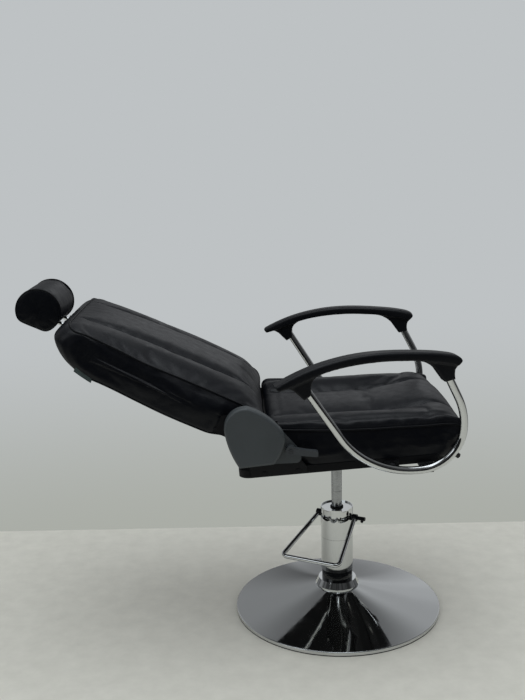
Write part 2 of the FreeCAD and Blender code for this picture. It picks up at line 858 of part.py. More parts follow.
def loop_path(side, rear_leg, front_leg):
    """The tube's centre line: straight leg, three tangent bends, straight leg."""
    def at(along, up):
        return loop_point(side, along, up)

    rear, front, upper = v.arm_rear_bend, v.arm_front_bend, v.arm_upper_bend
    rear_end = (-rear * math.sin(loop_turn), rear * (1 - math.cos(loop_turn)))
    top = (
        rear_end[0] - rear_leg * math.cos(loop_turn),
        rear_end[1] + rear_leg * math.sin(loop_turn),
    )
    half = loop_turn / 2
    side_x = v.arm_flat + front
    upper_end = (
        side_x - upper * (1 - math.cos(upper_turn)), front + upper * math.sin(upper_turn)
    )
    quarter = math.sin(math.radians(45))
    edges = [
        Part.LineSegment(at(*top), at(*rear_end)).toShape(),
        Part.Arc(
            at(*rear_end), at(-rear * math.sin(half), rear * (1 - math.cos(half))), at(0, 0)
        ).toShape(),
        Part.LineSegment(at(0, 0), at(v.arm_flat, 0)).toShape(),
        Part.Arc(
            at(v.arm_flat, 0),
            at(v.arm_flat + front * quarter, front * (1 - quarter)),
            at(side_x, front),
        ).toShape(),
        Part.Arc(
            at(side_x, front),
            at(
                side_x - upper * (1 - math.cos(upper_turn / 2)),
                front + upper * math.sin(upper_turn / 2),
            ),
            at(*upper_end),
        ).toShape(),
        Part.LineSegment(at(*upper_end), at(
            upper_end[0] - front_leg * math.sin(upper_turn),
            upper_end[1] + front_leg * math.cos(upper_turn),
        )).toShape(),
    ]
    return Part.Wire(edges)


def loop_at_x(side, x):
    """The tube's centre at a given X, on its lowest stretch."""
    along = x - v.arm_low_x
    for _ in range(8):
        past = along - v.arm_flat
        bend, run = (v.arm_rear_bend, along) if along < 0 else (v.arm_front_bend, max(past, 0))
        centre = loop_point(side, along, bend - math.sqrt(bend * bend - run * run))
        along += x - centre.x
    return centre


tube_r = v.arm_tube_diameter / 2
lug_inner = v.arm_bar_lug_side
lug_outer = lug_inner + v.plate_thickness
arm_spacers = []
arm_bolts = []
bolt_bores = {-1: [], 1: []}
for name, bar_x in (("arm_bar_rear", v.arm_bar_rear_x), ("arm_bar_front", v.arm_bar_front_x)):
    strip = Part.makeBox(
        v.arm_bar_width, 2 * lug_outer, v.plate_thickness,
        Vector(bar_x - v.arm_bar_width / 2, -lug_outer, -v.plate_thickness),
    )
    pieces = [strip]
    cuts = []
    for side in (-1, 1):
        centre = loop_at_x(side, seat_point(bar_x, 0, 0).x)
        local = seat_place.inverse().multVec(centre)
        pieces.append(Part.makeBox(
            v.arm_bar_width, v.plate_thickness, v.arm_bar_lug_height,
            Vector(
                bar_x - v.arm_bar_width / 2,
                lug_inner if side > 0 else -lug_outer,
                local.z - v.arm_bar_lug_height / 2,
            ),
        ))
        outward = Vector(0, side, 0)
        tube_inner = centre - outward * tube_r
        lug_face = Vector(centre.x, side * lug_outer, centre.z)
        head_seat = Vector(centre.x, side * lug_inner, centre.z)
        hole = rod(
            head_seat - outward * v.overrun, centre, v.arm_bolt_diameter / 2 + v.running_gap,
        )
        cuts.append(hole)
        cuts.append(rod(
            head_seat, head_seat - outward * (v.arm_bolt_head_height + v.running_gap),
            v.arm_bolt_head / 2 + v.running_gap,
        ))
        bolt_bores[side].append(hole)
        spacer = rod(lug_face, tube_inner + outward * tube_r, v.arm_spacer_diameter / 2)
        tube_room = bar_along(loop_path(side, 0.1 * v.arm_rear_leg, 0.1 * v.arm_front_leg), tube_r)
        spacer = spacer.cut(tube_room).cut(hole)
        arm_spacers.append(max(spacer.Solids, key=lambda s: s.Volume))
        arm_bolts.append(headed_bolt(
            head_seat, outward, v.arm_bolt_head / 2, v.arm_bolt_head_height,
            v.arm_bolt_diameter / 2, (centre - head_seat).Length - v.overrun,
        ))
    bar = joined(pieces)
    for y in (bar_screw_y.value, -bar_screw_y.value):
        bar = bar.cut(Part.makeCylinder(
            v.screw_diameter / 2 + v.running_gap, 2 * v.pan_thickness,
            Vector(bar_x, y, -v.pan_thickness),
        ))
    bar.Placement = seat_place
    for hole in cuts:
        bar = bar.cut(hole)
    for side in (-1, 1):
        bar = bar.cut(bar_along(
            loop_path(side, 0.1 * v.arm_rear_leg, 0.1 * v.arm_front_leg), tube_r + v.running_gap
        ))
    shape_node(name, bar)
shape_node("arm_spacers", Part.makeCompound(arm_spacers))
shape_node("arm_bar_screws", Part.makeCompound([
    headed_bolt(
        seat_point(x, y, -v.plate_thickness), seat_way(0, 0, 1), v.screw_head / 2,
        v.screw_head_height, v.screw_diameter / 2, v.plate_thickness + v.seat_bolt_grip,
    )
    for x in (v.arm_bar_rear_x, v.arm_bar_front_x)
    for y in (bar_screw_y.value, -bar_screw_y.value)
]))

# arm tubes, with a round bumper plugged into the front bend of each
hand = {-1: "right", 1: "left"}
bumper_turn = math.radians(v.bumper_turn)
bumpers = []
for side in (-1, 1):
    path = loop_path(side, v.arm_rear_leg, v.arm_front_leg)
    whole_tube = bar_along(path, tube_r)
    tube = whole_tube.cut(bar_along(path, tube_r - v.arm_tube_wall))
    for hole in bolt_bores[side]:
        tube = tube.cut(hole)
    bend_middle = loop_point(side, v.arm_flat, v.arm_front_bend)
    on_bend = loop_point(
        side, v.arm_flat + v.arm_front_bend * math.sin(bumper_turn),
        v.arm_front_bend * (1 - math.cos(bumper_turn)),
    )
    outward = (on_bend - bend_middle).normalize()
    bumper_end = on_bend + outward * (tube_r + v.bumper_height)
    head = rod(on_bend, bumper_end, v.bumper_diameter / 2).cut(
        bar_along(path, tube_r + v.running_gap)
    )
    head = max(head.Solids, key=lambda s: s.CenterOfMass.distanceToPoint(on_bend))
    stem_start = on_bend + outward * v.overrun
    bumpers.append(joined([head, rod(stem_start, bumper_end, v.bumper_stem_diameter / 2)]))
    tube = tube.cut(rod(
        on_bend, bumper_end, v.bumper_stem_diameter / 2 + v.running_gap
    ))
    shape_node("arm_tube_" + hand[side], tube)
shape_node("arm_bumpers", Part.makeCompound(bumpers))
shape_node("arm_bolts", Part.makeCompound([
    b.cut(bar_along(loop_path(s, 0.1 * v.arm_rear_leg, 0.1 * v.arm_front_leg), tube_r).cut(
        bar_along(loop_path(s, 0.1 * v.arm_rear_leg, 0.1 * v.arm_front_leg), tube_r - v.arm_tube_wall)
    ).cut(Part.makeCompound(bolt_bores[s])))
    for b, s in zip(arm_bolts, (-1, 1, -1, 1))
]))

# Pad outline as shares of its length and rise, seen from the side.
pad_top_shares = (
    (-0.5, 0.4), (-0.414, 0.575), (-0.307, 0.745), (-0.204, 0.86), (-0.123, 0.925),
    (-0.035, 0.97), (0.061, 0.99), (0.167, 0.985), (0.276, 0.96), (0.36, 0.93), (0.425, 0.89),
    (0.465, 0.85), (0.488, 0.80), (0.5, 0.735),
)
pad_low_shares = (
    (0.476, 0.63), (0.40, 0.70), (0.32, 0.75), (0.25, 0.783), (0.167, 0.80), (0.088, 0.806),
    (-0.0175, 0.788), (-0.123, 0.739), (-0.202, 0.678), (-0.27, 0.60), (-0.35, 0.48),
    (-0.436, 0.355), (-0.482, 0.304),
)
rear_sleeve_shares = (
    (-0.311, 0.374), (-0.307, 0.19), (-0.345, 0.078), (-0.401, 0.296), (-0.43, 0.355),
    (-0.36, 0.55), (-0.23, 0.75), (-0.225, 0.665), (-0.262, 0.61), (-0.295, 0.51),
)
front_sleeve_shares = (
    (0.25, 0.79), (0.296, 0.735), (0.33, 0.66), (0.353, 0.583), (0.386, 0.4), (0.406, 0.287),
    (0.463, 0.339), (0.459, 0.45), (0.462, 0.557), (0.476, 0.626), (0.47, 0.78), (0.3, 0.9),
)


def pad_point(shares):
    return Vector(shares[0] * v.pad_length, 0, shares[1] * v.pad_rise)


def round_edges(shape, radius, chosen):
    edges = [e for e in shape.Edges if chosen(e)]
    return shape.makeFillet(radius, edges)


def along_side(e, half):
    return abs(abs(e.BoundBox.YMin) - half) < 1e-3 and abs(e.BoundBox.YMin - e.BoundBox.YMax) < 1e-3


def smooth_edge(points):
    curve = Part.BSplineCurve()
    curve.interpolate(points)
    return curve.toShape()


def pad_band():
    top = [pad_point(s) for s in pad_top_shares]
    low = [pad_point(s) for s in pad_low_shares]
    edges = [
        smooth_edge(top), Part.LineSegment(top[-1], low[0]).toShape(),
        smooth_edge(low), Part.LineSegment(low[-1], top[0]).toShape(),
    ]
    face = Part.Face(Part.Wire(edges))
    face.translate(Vector(0, -v.pad_width / 2, 0))
    band = face.extrude(Vector(0, v.pad_width, 0))
    return round_edges(
        band, v.pad_edge_radius,
        lambda e: along_side(e, v.pad_width / 2) and e.Length > v.pad_length
        and e.BoundBox.ZMax > 0.95 * v.pad_rise,
    )


def pad_sleeve(shares):
    points = [pad_point(s) for s in shares]
    face = Part.Face(Part.makePolygon(points + points[:1]))
    face.translate(Vector(0, -v.pad_sleeve_width / 2, 0))
    block = face.extrude(Vector(0, v.pad_sleeve_width, 0))
    return block


pad_shape = joined([pad_band(), pad_sleeve(rear_sleeve_shares), pad_sleeve(front_sleeve_shares)])
for side in (-1, 1):
    place = Placement(
        Vector(v.pad_mid_x, side * v.pad_mid_side, v.pad_base_height),
        Rotation(Vector(0, 0, 1), -side * v.pad_toe_in),
    )
    pad = pad_shape.copy()
    pad.Placement = place
    tube_room = bar_along(
        loop_path(side, v.arm_rear_leg, v.arm_front_leg), tube_r + v.running_gap / 4
    )
    shape_node("arm_pad_" + hand[side], pad.cut(tube_room))

# Seat cushion: side outlines lofted across the width. Each row gives the share of the half
# width, shares of the crown at the rear, the dip and the front roll, of the front reach, of how
# far the lower edge is drawn up, and of the nose's height.
seat_section_shares = (
    (1.0, 0.74, 0.64, 0.70, 0.92, 0.2, 0.8),
    (0.985, 0.90, 0.83, 0.87, 0.95, 0.04, 0.82),
    (0.90, 1.10, 1.02, 0.98, 0.975, 0.0, 0.72),
    (0.77, 1.17, 1.08, 1.03, 0.99, 0.0, 0.62),
    (0.58, 1.06, 0.96, 1.03, 1.0, 0.0, 0.58),
    (0.50, 0.97, 0.86, 0.99, 1.0, 0.0, 0.58),
    (0.42, 1.03, 0.93, 1.05, 1.0, 0.0, 0.58),
    (0.2, 1.07, 0.98, 1.10, 1.0, 0.0, 0.58),
)
pan_top = v.pan_thickness


def seat_section(y, rear_share, dip_share, roll_share, reach_share, lift_share, nose_share):
    """One side outline of the seat cushion."""
    reach = v.cushion_front * reach_share
    rear = v.cushion_rear * (1 - lift_share / 5)
    high = v.cushion_crown
    low = pan_top + lift_share * high
    lip = low + pan_top * 0.4
    back_top = high * rear_share
    dip = high * dip_share
    roll = high * roll_share
    nose = pan_top + (roll - pan_top) * nose_share

    def at(x, z):
        return Vector(x, y, z)

    return outline_wire([
        (at(-rear, low), None),
        (at(-rear, back_top * 0.86), at(-rear * 0.97, back_top * 0.95)),
        (at(-rear * 0.87, back_top), at(-rear * 0.2, back_top * 0.35 + dip * 0.65)),
        (at(reach * 0.27, dip), at(reach * 0.5, dip * 0.6 + roll * 0.4)),
        (at(reach * 0.72, roll), at(reach * 0.92, nose + (roll - nose) * 0.78)),
        (at(reach, nose), at(reach * 0.985, (nose + lip) / 2)),
        (at(reach * 0.91, lip), at(reach * 0.9, (low + lip) / 2)),
        (at(reach * 0.88, low), None),
    ])


def outline_wire(corners):
    """Corners with the middle of the arc that leads on, or None for a straight edge."""
    edges = []
    for i, (start, middle) in enumerate(corners):
        end = corners[(i + 1) % len(corners)][0]
        if middle is None:
            edges.append(Part.LineSegment(start, end).toShape())
        else:
            edges.append(Part.Arc(start, middle, end).toShape())
    return Part.Wire(edges)


def seat_loft():
    wires = []
    for row in seat_section_shares:
        wires.append(seat_section(-row[0] * v.cushion_half_width, *row[1:]))
    for row in reversed(seat_section_shares):
        wires.append(seat_section(row[0] * v.cushion_half_width, *row[1:]))
    return Part.makeLoft(wires, True, True)


shape_node("seat_cushion", seat_loft(), seat_place)

# hinge plates, in the plane of the seat's sides
pivot = Vector(v.pivot_x, 0, v.pivot_height)
lever_at = Vector(v.lever_x, 0, v.lever_height)
hinge_inner = v.pan_half_width
hinge_outer = hinge_inner + v.hinge_plate_thickness
hinge_screw_places = (
    seat_point(-v.pan_rear * 0.76, 0, v.pan_thickness / 2),
    seat_point(-v.pan_rear * 0.45, 0, v.pan_thickness / 2),
)


def across(side, inner, outer):
    """Where a slab between two distances from the middle starts, and its sideways way."""
    return Vector(0, side * inner, 0), Vector(0, side * (outer - inner), 0)


def disc(centre, radius, side, inner, outer):
    start, way = across(side, inner, outer)
    return Part.makeCylinder(radius, way.Length, centre + start, way)


def slab(points, side, inner, outer):
    start, way = across(side, inner, outer)
    face = Part.Face(Part.makePolygon(points + points[:1]))
    face.translate(start)
    return face.extrude(way)


plate_foot = [
    seat_point(-v.pan_rear * 0.88, 0, v.plate_thickness / 2),
    seat_point(-v.pan_rear * 0.37, 0, v.plate_thickness / 2),
    seat_point(-v.pan_rear * 0.37, 0, v.pan_thickness),
]
boss_front = {-1: 0.34, 1: -0.16}
plate_front = {
    -1: [
        lever_at + Vector(v.lever_hub_diameter * 0.5, 0, -v.lever_hub_diameter * 0.5),
        lever_at + Vector(v.lever_hub_diameter * 0.3, 0, v.lever_hub_diameter * 0.7),
    ],
    1: [seat_point(-v.pan_rear * 0.5, 0, 2 * v.pan_thickness)],
}


def hinge_points(side):
    return plate_foot + plate_front[side] + [
        pivot + Vector(v.hinge_boss * 0.4, 0, v.hinge_boss * boss_front[side]),
        pivot + Vector(-v.hinge_boss * 0.5, 0, 0),
    ]


# A spiral spring turns round the right pin; its outer end hooks on a post of the hinge plate.
inner_side = hinge_outer + v.fit_gap
inner_far = inner_side + v.inner_cover_thickness
outer_far = inner_far + v.cover_depth
spiral_in = inner_far + v.running_gap
spiral_out = spiral_in + v.spiral_width
half_turns = 8


def spiral_edges(radius):
    """Half circles whose radius grows by a quarter of the pitch each."""
    edges = []
    start = Vector(radius, 0, 0)
    for k in range(half_turns):
        way = -1 if k % 2 == 0 else 1
        end = start + Vector(way * 2 * radius, 0, 0)
        middle = (start + end) / 2 - Vector(0, 0, way * radius)
        edges.append(Part.Arc(start, middle, end).toShape())
        start = end
        radius += v.spiral_pitch / 4
    return edges, start


inner_line, inner_end = spiral_edges(v.spiral_inner_radius)
outer_line, outer_end = spiral_edges(v.spiral_inner_radius + v.spiral_strip)
strip_edges = inner_line + outer_line + [
    Part.LineSegment(
        Vector(v.spiral_inner_radius, 0, 0),
        Vector(v.spiral_inner_radius + v.spiral_strip, 0, 0),
    ).toShape(),
    Part.LineSegment(inner_end, outer_end).toShape(),
]
spiral_face = Part.Face(Part.Wire(Part.__sortEdges__(strip_edges)))
spiral_face.translate(pivot + Vector(0, -spiral_in, 0))
post_r = v.spiral_pitch / 2
post_at = pivot + outer_end + Vector(math.copysign(post_r - v.spiral_strip / 2, outer_end.x), 0, 0)
spring_post = disc(post_at, post_r, -1, hinge_inner, spiral_out)
spiral_spring = spiral_face.extrude(Vector(0, -v.spiral_width, 0))
shape_node("recline_spring", spiral_spring.cut(
    disc(post_at, post_r + v.running_gap / 4, -1, 0, 2 * spiral_out)
))

pin_hole = v.pivot_pin_diameter / 2 + v.running_gap / 2
for side in (-1, 1):
    pieces = [
        slab(hinge_points(side), side, hinge_inner, hinge_outer),
        disc(pivot, v.hinge_boss / 2, side, hinge_inner, hinge_outer),
    ]
    if side < 0:
        pieces.append(spring_post)
    shape = joined(pieces).cut(disc(pivot, pin_hole, side, 0, 2 * hinge_outer))
    for place in hinge_screw_places:
        shape = shape.cut(disc(place, v.screw_diameter / 2 + v.running_gap, side, 0, 2 * hinge_outer))
    if side < 0:
        shape = shape.cut(disc(
            lever_at, v.lever_shaft_diameter / 2 + v.running_gap, side, 0, 2 * hinge_outer
        ))
    shape_node("hinge_plate_" + hand[side], shape)

hinge_screws = []
for side in (-1, 1):
    for place in hinge_screw_places:
        hinge_screws.append(headed_bolt(
            place + Vector(0, side * hinge_outer, 0), Vector(0, -side, 0), v.screw_head / 2,
            v.screw_head_height, v.screw_diameter / 2, v.hinge_screw_length,
        ))
shape_node("hinge_screws", Part.makeCompound(hinge_screws))
side_bores = Part.makeCompound([
    rod(
        place + Vector(0, side * hinge_outer, 0),
        place + Vector(0, side * (hinge_outer - v.hinge_screw_length - v.fit_gap), 0),
        v.screw_diameter / 2 + v.running_gap / 4,
    )
    for side in (-1, 1) for place in hinge_screw_places
])
doc.recompute()
pan_label = seat_pan.Label
nodes.remove(seat_pan)
seat_pan.Label = "seat_pan_blank"
shape_node(pan_label, seat_pan.Shape.cut(side_bores).removeSplitter())

# Covers: outlines as shares of the cover's size, from the pivot.
outer_cover_shares = (
    ((-0.36, 0.0), (-0.225, 0.28)),
    ((0.03, 0.352), (0.29, 0.23)),
    ((0.53, 0.02), (0.61, -0.09)),
    ((0.63, -0.19), (0.58, -0.36)),
    ((0.44, -0.58), None),
    ((-0.125, -0.632), (-0.268, -0.36)),
)
inner_cover_shares = (
    ((-0.24, 0.0), (-0.08, 0.25)),
    ((0.16, 0.22), None),
    ((0.45, 0.08), None),
    ((0.83, -0.35), None),
    ((0.893, -0.51), (0.882, -0.572)),
    ((0.81, -0.612), None),
    ((0.46, -0.62), None),
    ((-0.06, -0.625), None),
)


def cover_face(shares):
    def at(pair):
        return pivot + Vector(pair[0] * v.cover_width, 0, pair[1] * v.cover_height)

    corners = [(at(start), at(middle) if middle else None) for start, middle in shares]
    return Part.Face(outline_wire(corners))


side = -1
start, way = across(side, inner_side, inner_far)
backing = cover_face(inner_cover_shares)
backing.translate(start)
backing = backing.extrude(way)
backing_holes = [(pivot, v.pivot_head_diameter / 2 + v.fit_gap * 3)]
backing_holes.append((post_at, post_r + v.running_gap))
backing_holes.append((lever_at, v.lever_shaft_diameter / 2 + v.running_gap))
backing_holes += [(place, v.screw_head / 2 + v.running_gap) for place in hinge_screw_places]
for place, radius in backing_holes:
    backing = backing.cut(disc(place, radius, side, 0, 2 * outer_far))
shape_node("inner_cover", backing.removeSplitter())

start, way = across(side, inner_far, outer_far)
face = cover_face(outer_cover_shares)
face.translate(start)
far_y = side * outer_far
shell = round_edges(
    face.extrude(way), v.cover_round,
    lambda e: abs(e.BoundBox.YMin - far_y) < 1e-3 and abs(e.BoundBox.YMax - far_y) < 1e-3,
)
room = face.makeOffset2D(-v.cover_wall)
room = room.extrude(way * ((v.cover_depth - v.cover_wall * 1.5) / v.cover_depth))
shape_node("outer_cover", shell.cut(room))

# Recline pins: the right one carries the spring's inner end, the left one a round cap.
arm_inner = v.back_arm_side
arm_outer = arm_inner + v.back_arm_thickness
pin_far = hinge_outer + v.running_gap
head_far = pin_far + v.pivot_head_height
recline_pins = []
for side in (-1, 1):
    pieces = [
        disc(pivot, v.pivot_pin_diameter / 2, side, arm_inner, pin_far),
        disc(pivot, v.pivot_head_diameter / 2, side, pin_far, head_far),
    ]
    if side < 0:
        pieces.append(disc(pivot, v.spiral_inner_radius, side, head_far, spiral_out))
    recline_pins.append(joined(pieces))
shape_node("recline_pins", Part.makeCompound(recline_pins))
pivot_cap = disc(pivot, v.pivot_cap_diameter / 2, 1, inner_side, inner_side + v.pivot_cap_height)
pivot_cap = round_edges(
    pivot_cap, v.cover_wall,
    lambda e: abs(e.BoundBox.YMin - inner_side - v.pivot_cap_height) < 1e-3,
)
shape_node("pivot_cap", pivot_cap.cut(disc(pivot, v.pivot_head_diameter / 2, 1, 0, head_far)))

# Recline lever, its shaft, screw and pawl, on the sitter's right.
side = -1
lever_in = inner_far + v.running_gap
lever_out = lever_in + v.cover_depth * 0.68
handle_in = lever_out - v.lever_depth
hub_disc = disc(lever_at, v.lever_hub_diameter / 2, side, lever_in, lever_out)
handle_shares = (
    (0.0, 0.16), (0.0, -0.16), (0.15, -0.15), (0.51, -0.2), (0.955, -0.25), (1.0, -0.225),
    (1.0, -0.06), (0.94, -0.026), (0.51, 0.026), (0.2, 0.1),
)
handle = slab(
    [lever_at + Vector(v.lever_reach * x, 0, v.lever_reach * z) for x, z in handle_shares],
    side, handle_in, lever_out,
)
shaft_r = v.lever_shaft_diameter / 2
shaft_in = arm_inner
lever = joined([hub_disc, handle]).cut(disc(lever_at, shaft_r, side, 0, lever_out - v.cover_wall))
screw_bore = v.screw_diameter / 2
lever = lever.cut(disc(lever_at, screw_bore, side, 0, 2 * lever_out))
shape_node("recline_lever", lever)
shaft = disc(lever_at, shaft_r, side, shaft_in, lever_out - v.cover_wall)
shape_node("lever_shaft", shaft.cut(
    disc(lever_at, screw_bore, side, lever_out - v.hinge_screw_length / 2, 2 * lever_out)
))
shape_node("lever_screw", joined([
    disc(lever_at, screw_bore, side, lever_out - v.hinge_screw_length / 2, lever_out),
    disc(lever_at, v.lever_screw_diameter / 2, side, lever_out, lever_out + v.screw_head_height),
]))


def around_pivot(radius, angle):
    a = math.radians(angle)
    return pivot + Vector(radius * math.cos(a), 0, radius * math.sin(a))


pitch = v.sector_pitch
tooth_tip = v.sector_radius + v.sector_tooth
pad_points = []
for k in range(-2, 3):
    centre_angle = v.pawl_angle + k * pitch
    pad_points.append(around_pivot(tooth_tip + v.running_gap + v.sector_tooth, centre_angle))
    if k < 2:
        pad_points.append(around_pivot(tooth_tip + v.running_gap, centre_angle + pitch / 2))
pad_points.append(around_pivot(v.pawl_pad_radius, v.pawl_angle + 2 * pitch))
pad_points.append(around_pivot(v.pawl_pad_radius, v.pawl_angle - 2 * pitch))
pad_middle = around_pivot((v.pawl_pad_radius + tooth_tip + v.sector_tooth) / 2, v.pawl_angle)
arm_way = (lever_at - pad_middle).normalize()
arm_cross = Vector(-arm_way.z, 0, arm_way.x) * (v.pawl_arm_width / 2)
pawl_tip = pad_middle + arm_way * (v.pawl_arm_width / 2)
pawl_arm = slab([
    pawl_tip + arm_cross * 0.7, lever_at + arm_cross, lever_at - arm_cross, pawl_tip - arm_cross * 0.7,
], side, arm_inner, arm_outer)
pawl = joined([
    slab(pad_points, side, arm_inner, arm_outer), pawl_arm,
    disc(lever_at, v.pawl_arm_width * 0.75, side, arm_inner, arm_outer),
])
shape_node("recline_pawl", pawl.cut(disc(lever_at, shaft_r, side, 0, 2 * lever_out)))

# Backrest, modelled upright about the pivot and then leaned back.
back_place = Placement(pivot, Rotation(Vector(0, 1, 0), -v.back_lean))


def back_point(x, y, z):
    return back_place.multVec(Vector(x, y, z))


screw_line = v.back_rear - v.back_board_thickness / 2
arm_points_local = [
    (-screw_line - v.back_arm_width / 3, v.back_arm_screw_first * 0.5),
    (v.back_arm_boss * 0.46, v.back_arm_boss * 0.1),
    (v.back_arm_boss * 0.3, v.back_arm_boss * 0.5),
    (-screw_line + v.back_arm_width * 0.66, v.back_arm_length),
    (-screw_line - v.back_arm_width / 3, v.back_arm_length),
]
back_screw_places = [
    back_point(-screw_line, 0, v.back_arm_screw_first),
    back_point(-screw_line, 0, v.back_arm_screw_last),
]
teeth_from = v.pawl_angle - 3.5 * pitch
teeth_to = v.pawl_angle + 15.5 * pitch
sector_points = [pivot]
angle = teeth_from
while angle < teeth_to:
    sector_points.append(around_pivot(v.sector_radius, angle))
    sector_points.append(around_pivot(v.sector_radius, angle + pitch * 0.25))
    sector_points.append(around_pivot(tooth_tip - v.fit_gap, angle + pitch * 0.5))
    sector_points.append(around_pivot(v.sector_radius, angle + pitch * 0.75))
    angle += pitch
for side in (-1, 1):
    pieces = [
        disc(pivot, v.back_arm_boss / 2, side, arm_inner, arm_outer),
        slab([back_point(x, 0, z) for x, z in arm_points_local], side, arm_inner, arm_outer),
    ]
    if side < 0:
        pieces.append(slab(sector_points, side, arm_inner, arm_outer))
    arm = joined(pieces).cut(disc(pivot, v.pivot_pin_diameter / 2, side, 0, 2 * arm_outer))
    for place in back_screw_places:
        arm = arm.cut(disc(place, v.screw_diameter / 2 + v.running_gap, side, 0, 2 * arm_outer))
    shape_node("back_arm_" + hand[side], arm)

back_screws = []
back_bores = []
for side in (-1, 1):
    for place in back_screw_places:
        seat = place + Vector(0, side * arm_outer, 0)
        inward = Vector(0, -side, 0)
        back_screws.append(headed_bolt(
            seat, inward, v.screw_head / 2, v.screw_head_height, v.screw_diameter / 2,
            v.back_half_width - v.back_board_half_width + v.back_screw_length,
        ))
        back_bores.append(rod(
            seat + inward * -v.overrun,
            seat + inward * (
                v.back_half_width - v.back_board_half_width + v.back_screw_length + v.fit_gap
            ),
            v.screw_diameter / 2 + v.running_gap,
        ))
shape_node("back_arm_screws", Part.makeCompound(back_screws))
back_bore_set = Part.makeCompound(back_bores)

# Rows: share of the half width, of the front crown, of the rear, and of the end radius.
back_section_shares = (
    (1.0, 0.40, 0.93, 0.90),
    (0.98, 0.52, 1.0, 0.97),
    (0.90, 0.71, 1.0, 1.0),
    (0.76, 0.87, 1.0, 1.0),
    (0.56, 0.94, 1.0, 1.0),
    (0.50, 0.885, 1.0, 1.0),
    (0.44, 0.955, 1.0, 1.0),
    (0.22, 1.0, 1.0, 1.0),
)


def back_section(width_share, front_share, rear_share, end_share, sign):
    y = sign * width_share * v.back_half_width
    corner_in = abs(y) - (v.back_half_width - v.back_top_corner)
    drop = 0.0
    if corner_in > 0:
        drop = v.back_top_corner - math.sqrt(max(v.back_top_corner ** 2 - corner_in ** 2, 0))
    top = v.back_top - drop * 0.8
    front = v.back_front * front_share
    rear = v.back_rear * rear_share
    end = v.back_end_radius * end_share
    low = min(front * 0.9, end * 0.87)
    shoulder = front * 0.95
    # towards the top the front is boxier, fuller at its sides
    high = v.back_front * front_share ** 0.4

    def at(x, z):
        return Vector(x, y, z)

    return outline_wire([
        (at(low, -end * 0.44), at(low + (shoulder - low) * 0.62, v.back_top * 0.012)),
        (at(shoulder, v.back_top * 0.07), at(front, v.back_top * 0.3)),
        (at(front * 0.985, v.back_top * 0.56), at(front * 0.41 + high * 0.52, v.back_top * 0.74)),
        (at(high * 0.84, top * 0.89), at(high * 0.64, top * 0.968)),
        (at(rear * 0.3, top), at(-rear * 0.5, top - v.back_top * 0.06)),
        (at(-rear, top - v.back_top * 0.22), None),
        (at(-rear, 0), at(-rear * 0.1, -end)),
    ])


def back_loft():
    wires = [back_section(*row, -1) for row in back_section_shares]
    wires += [back_section(*row, 1) for row in reversed(back_section_shares)]
    return Part.makeLoft(wires, True, True)


back_solid = back_loft()
board_box = Part.makeBox(
    v.back_board_thickness + v.overrun, 2 * v.back_board_half_width,
    v.back_board_top - v.back_board_bottom,
    Vector(-v.back_rear - v.overrun, -v.back_board_half_width, v.back_board_bottom),
)
back_solid = back_solid.cut(board_box)
guide_r = v.guide_diameter / 2
rod_r = v.post_diameter / 2
post_ys = (-v.post_spacing / 2, v.post_spacing / 2)
guide_top = v.back_top + v.guide_stand
for y in post_ys:
    back_solid = back_solid.cut(Part.makeCylinder(
        guide_r + v.fit_gap / 3, v.back_top, Vector(v.post_forward, y, v.guide_bottom)
    ))
    back_solid = back_solid.cut(Part.makeCylinder(
        rod_r + v.fit_gap, v.back_top, Vector(v.post_forward, y, v.post_bottom - v.fit_gap)
    ))
    back_solid = back_solid.cut(Part.makeCylinder(
        v.guide_collar_diameter / 2 + v.fit_gap, v.back_top,
        Vector(v.post_forward, y, guide_top - v.guide_collar_height - v.fit_gap / 3),
    ))
back_solid.Placement = back_place
shape_node("backrest_cushion", back_solid.cut(back_bore_set))

board = Part.makeBox(
    v.back_board_thickness, 2 * v.back_board_half_width,
    v.back_board_top - v.back_board_bottom,
    Vector(-v.back_rear, -v.back_board_half_width, v.back_board_bottom),
)
board.Placement = back_place
shape_node("backrest_board", board.cut(back_bore_set))

panel_half = d.rear_panel_half_width
panel_corner = d.rear_panel_corner
plate("backrest_rear_panel", "YZ_Plane", [
    (-panel_half + panel_corner, d.rear_panel_bottom),
    (panel_half - panel_corner, d.rear_panel_bottom, -panel_corner),
    (panel_half, d.rear_panel_bottom + panel_corner),
    (panel_half, d.rear_panel_top - panel_corner, -panel_corner),
    (panel_half - panel_corner, d.rear_panel_top),
    (-panel_half + panel_corner, d.rear_panel_top, -panel_corner),
    (-panel_half, d.rear_panel_top - panel_corner),
    (-panel_half, d.rear_panel_bottom + panel_corner, -panel_corner),
], d.rear_panel_thickness, -d.back_rear - d.rear_panel_thickness, (), back_place)

guides = []
for y in post_ys:
    tube = Part.makeCylinder(guide_r, guide_top - v.guide_bottom, Vector(v.post_forward, y, v.guide_bottom))
    collar = Part.makeCylinder(
        v.guide_collar_diameter / 2, v.guide_collar_height,
        Vector(v.post_forward, y, guide_top - v.guide_collar_height),
    )
    hole = Part.makeCylinder(
        rod_r + v.running_gap / 2, 2 * v.back_top, Vector(v.post_forward, y, 0)
    )
    guides.append(tube.fuse(collar).removeSplitter().cut(hole))
shape_node("headrest_guides", Part.makeCompound(guides), back_place)

# headrest: a roll with a flat rear, on a wooden board carried by two posts
roll_rows = ((1.0, 0.9), (0.93, 1.0), (0.45, 1.02))


def roll_section(y, share):
    r = v.headrest_radius * share
    flat = -v.headrest_flat if share >= 1 else -v.headrest_flat * 0.8
    cx, cz = v.headrest_forward, v.headrest_height
    reach = math.sqrt(max(r * r - (flat - cx) ** 2, 0))
    slant = math.atan2(-reach, flat - cx)

    def at(angle):
        return Vector(cx + r * math.cos(angle), y, cz + r * math.sin(angle))

    down = math.radians(-90)
    low_mid = (slant + down) / 2
    return outline_wire([
        (at(slant), at(low_mid)),
        (at(down), at(math.radians(-45))),
        (at(0), at(math.radians(45))),
        (at(-down), at(-low_mid)),
        (at(-slant), None),
    ])


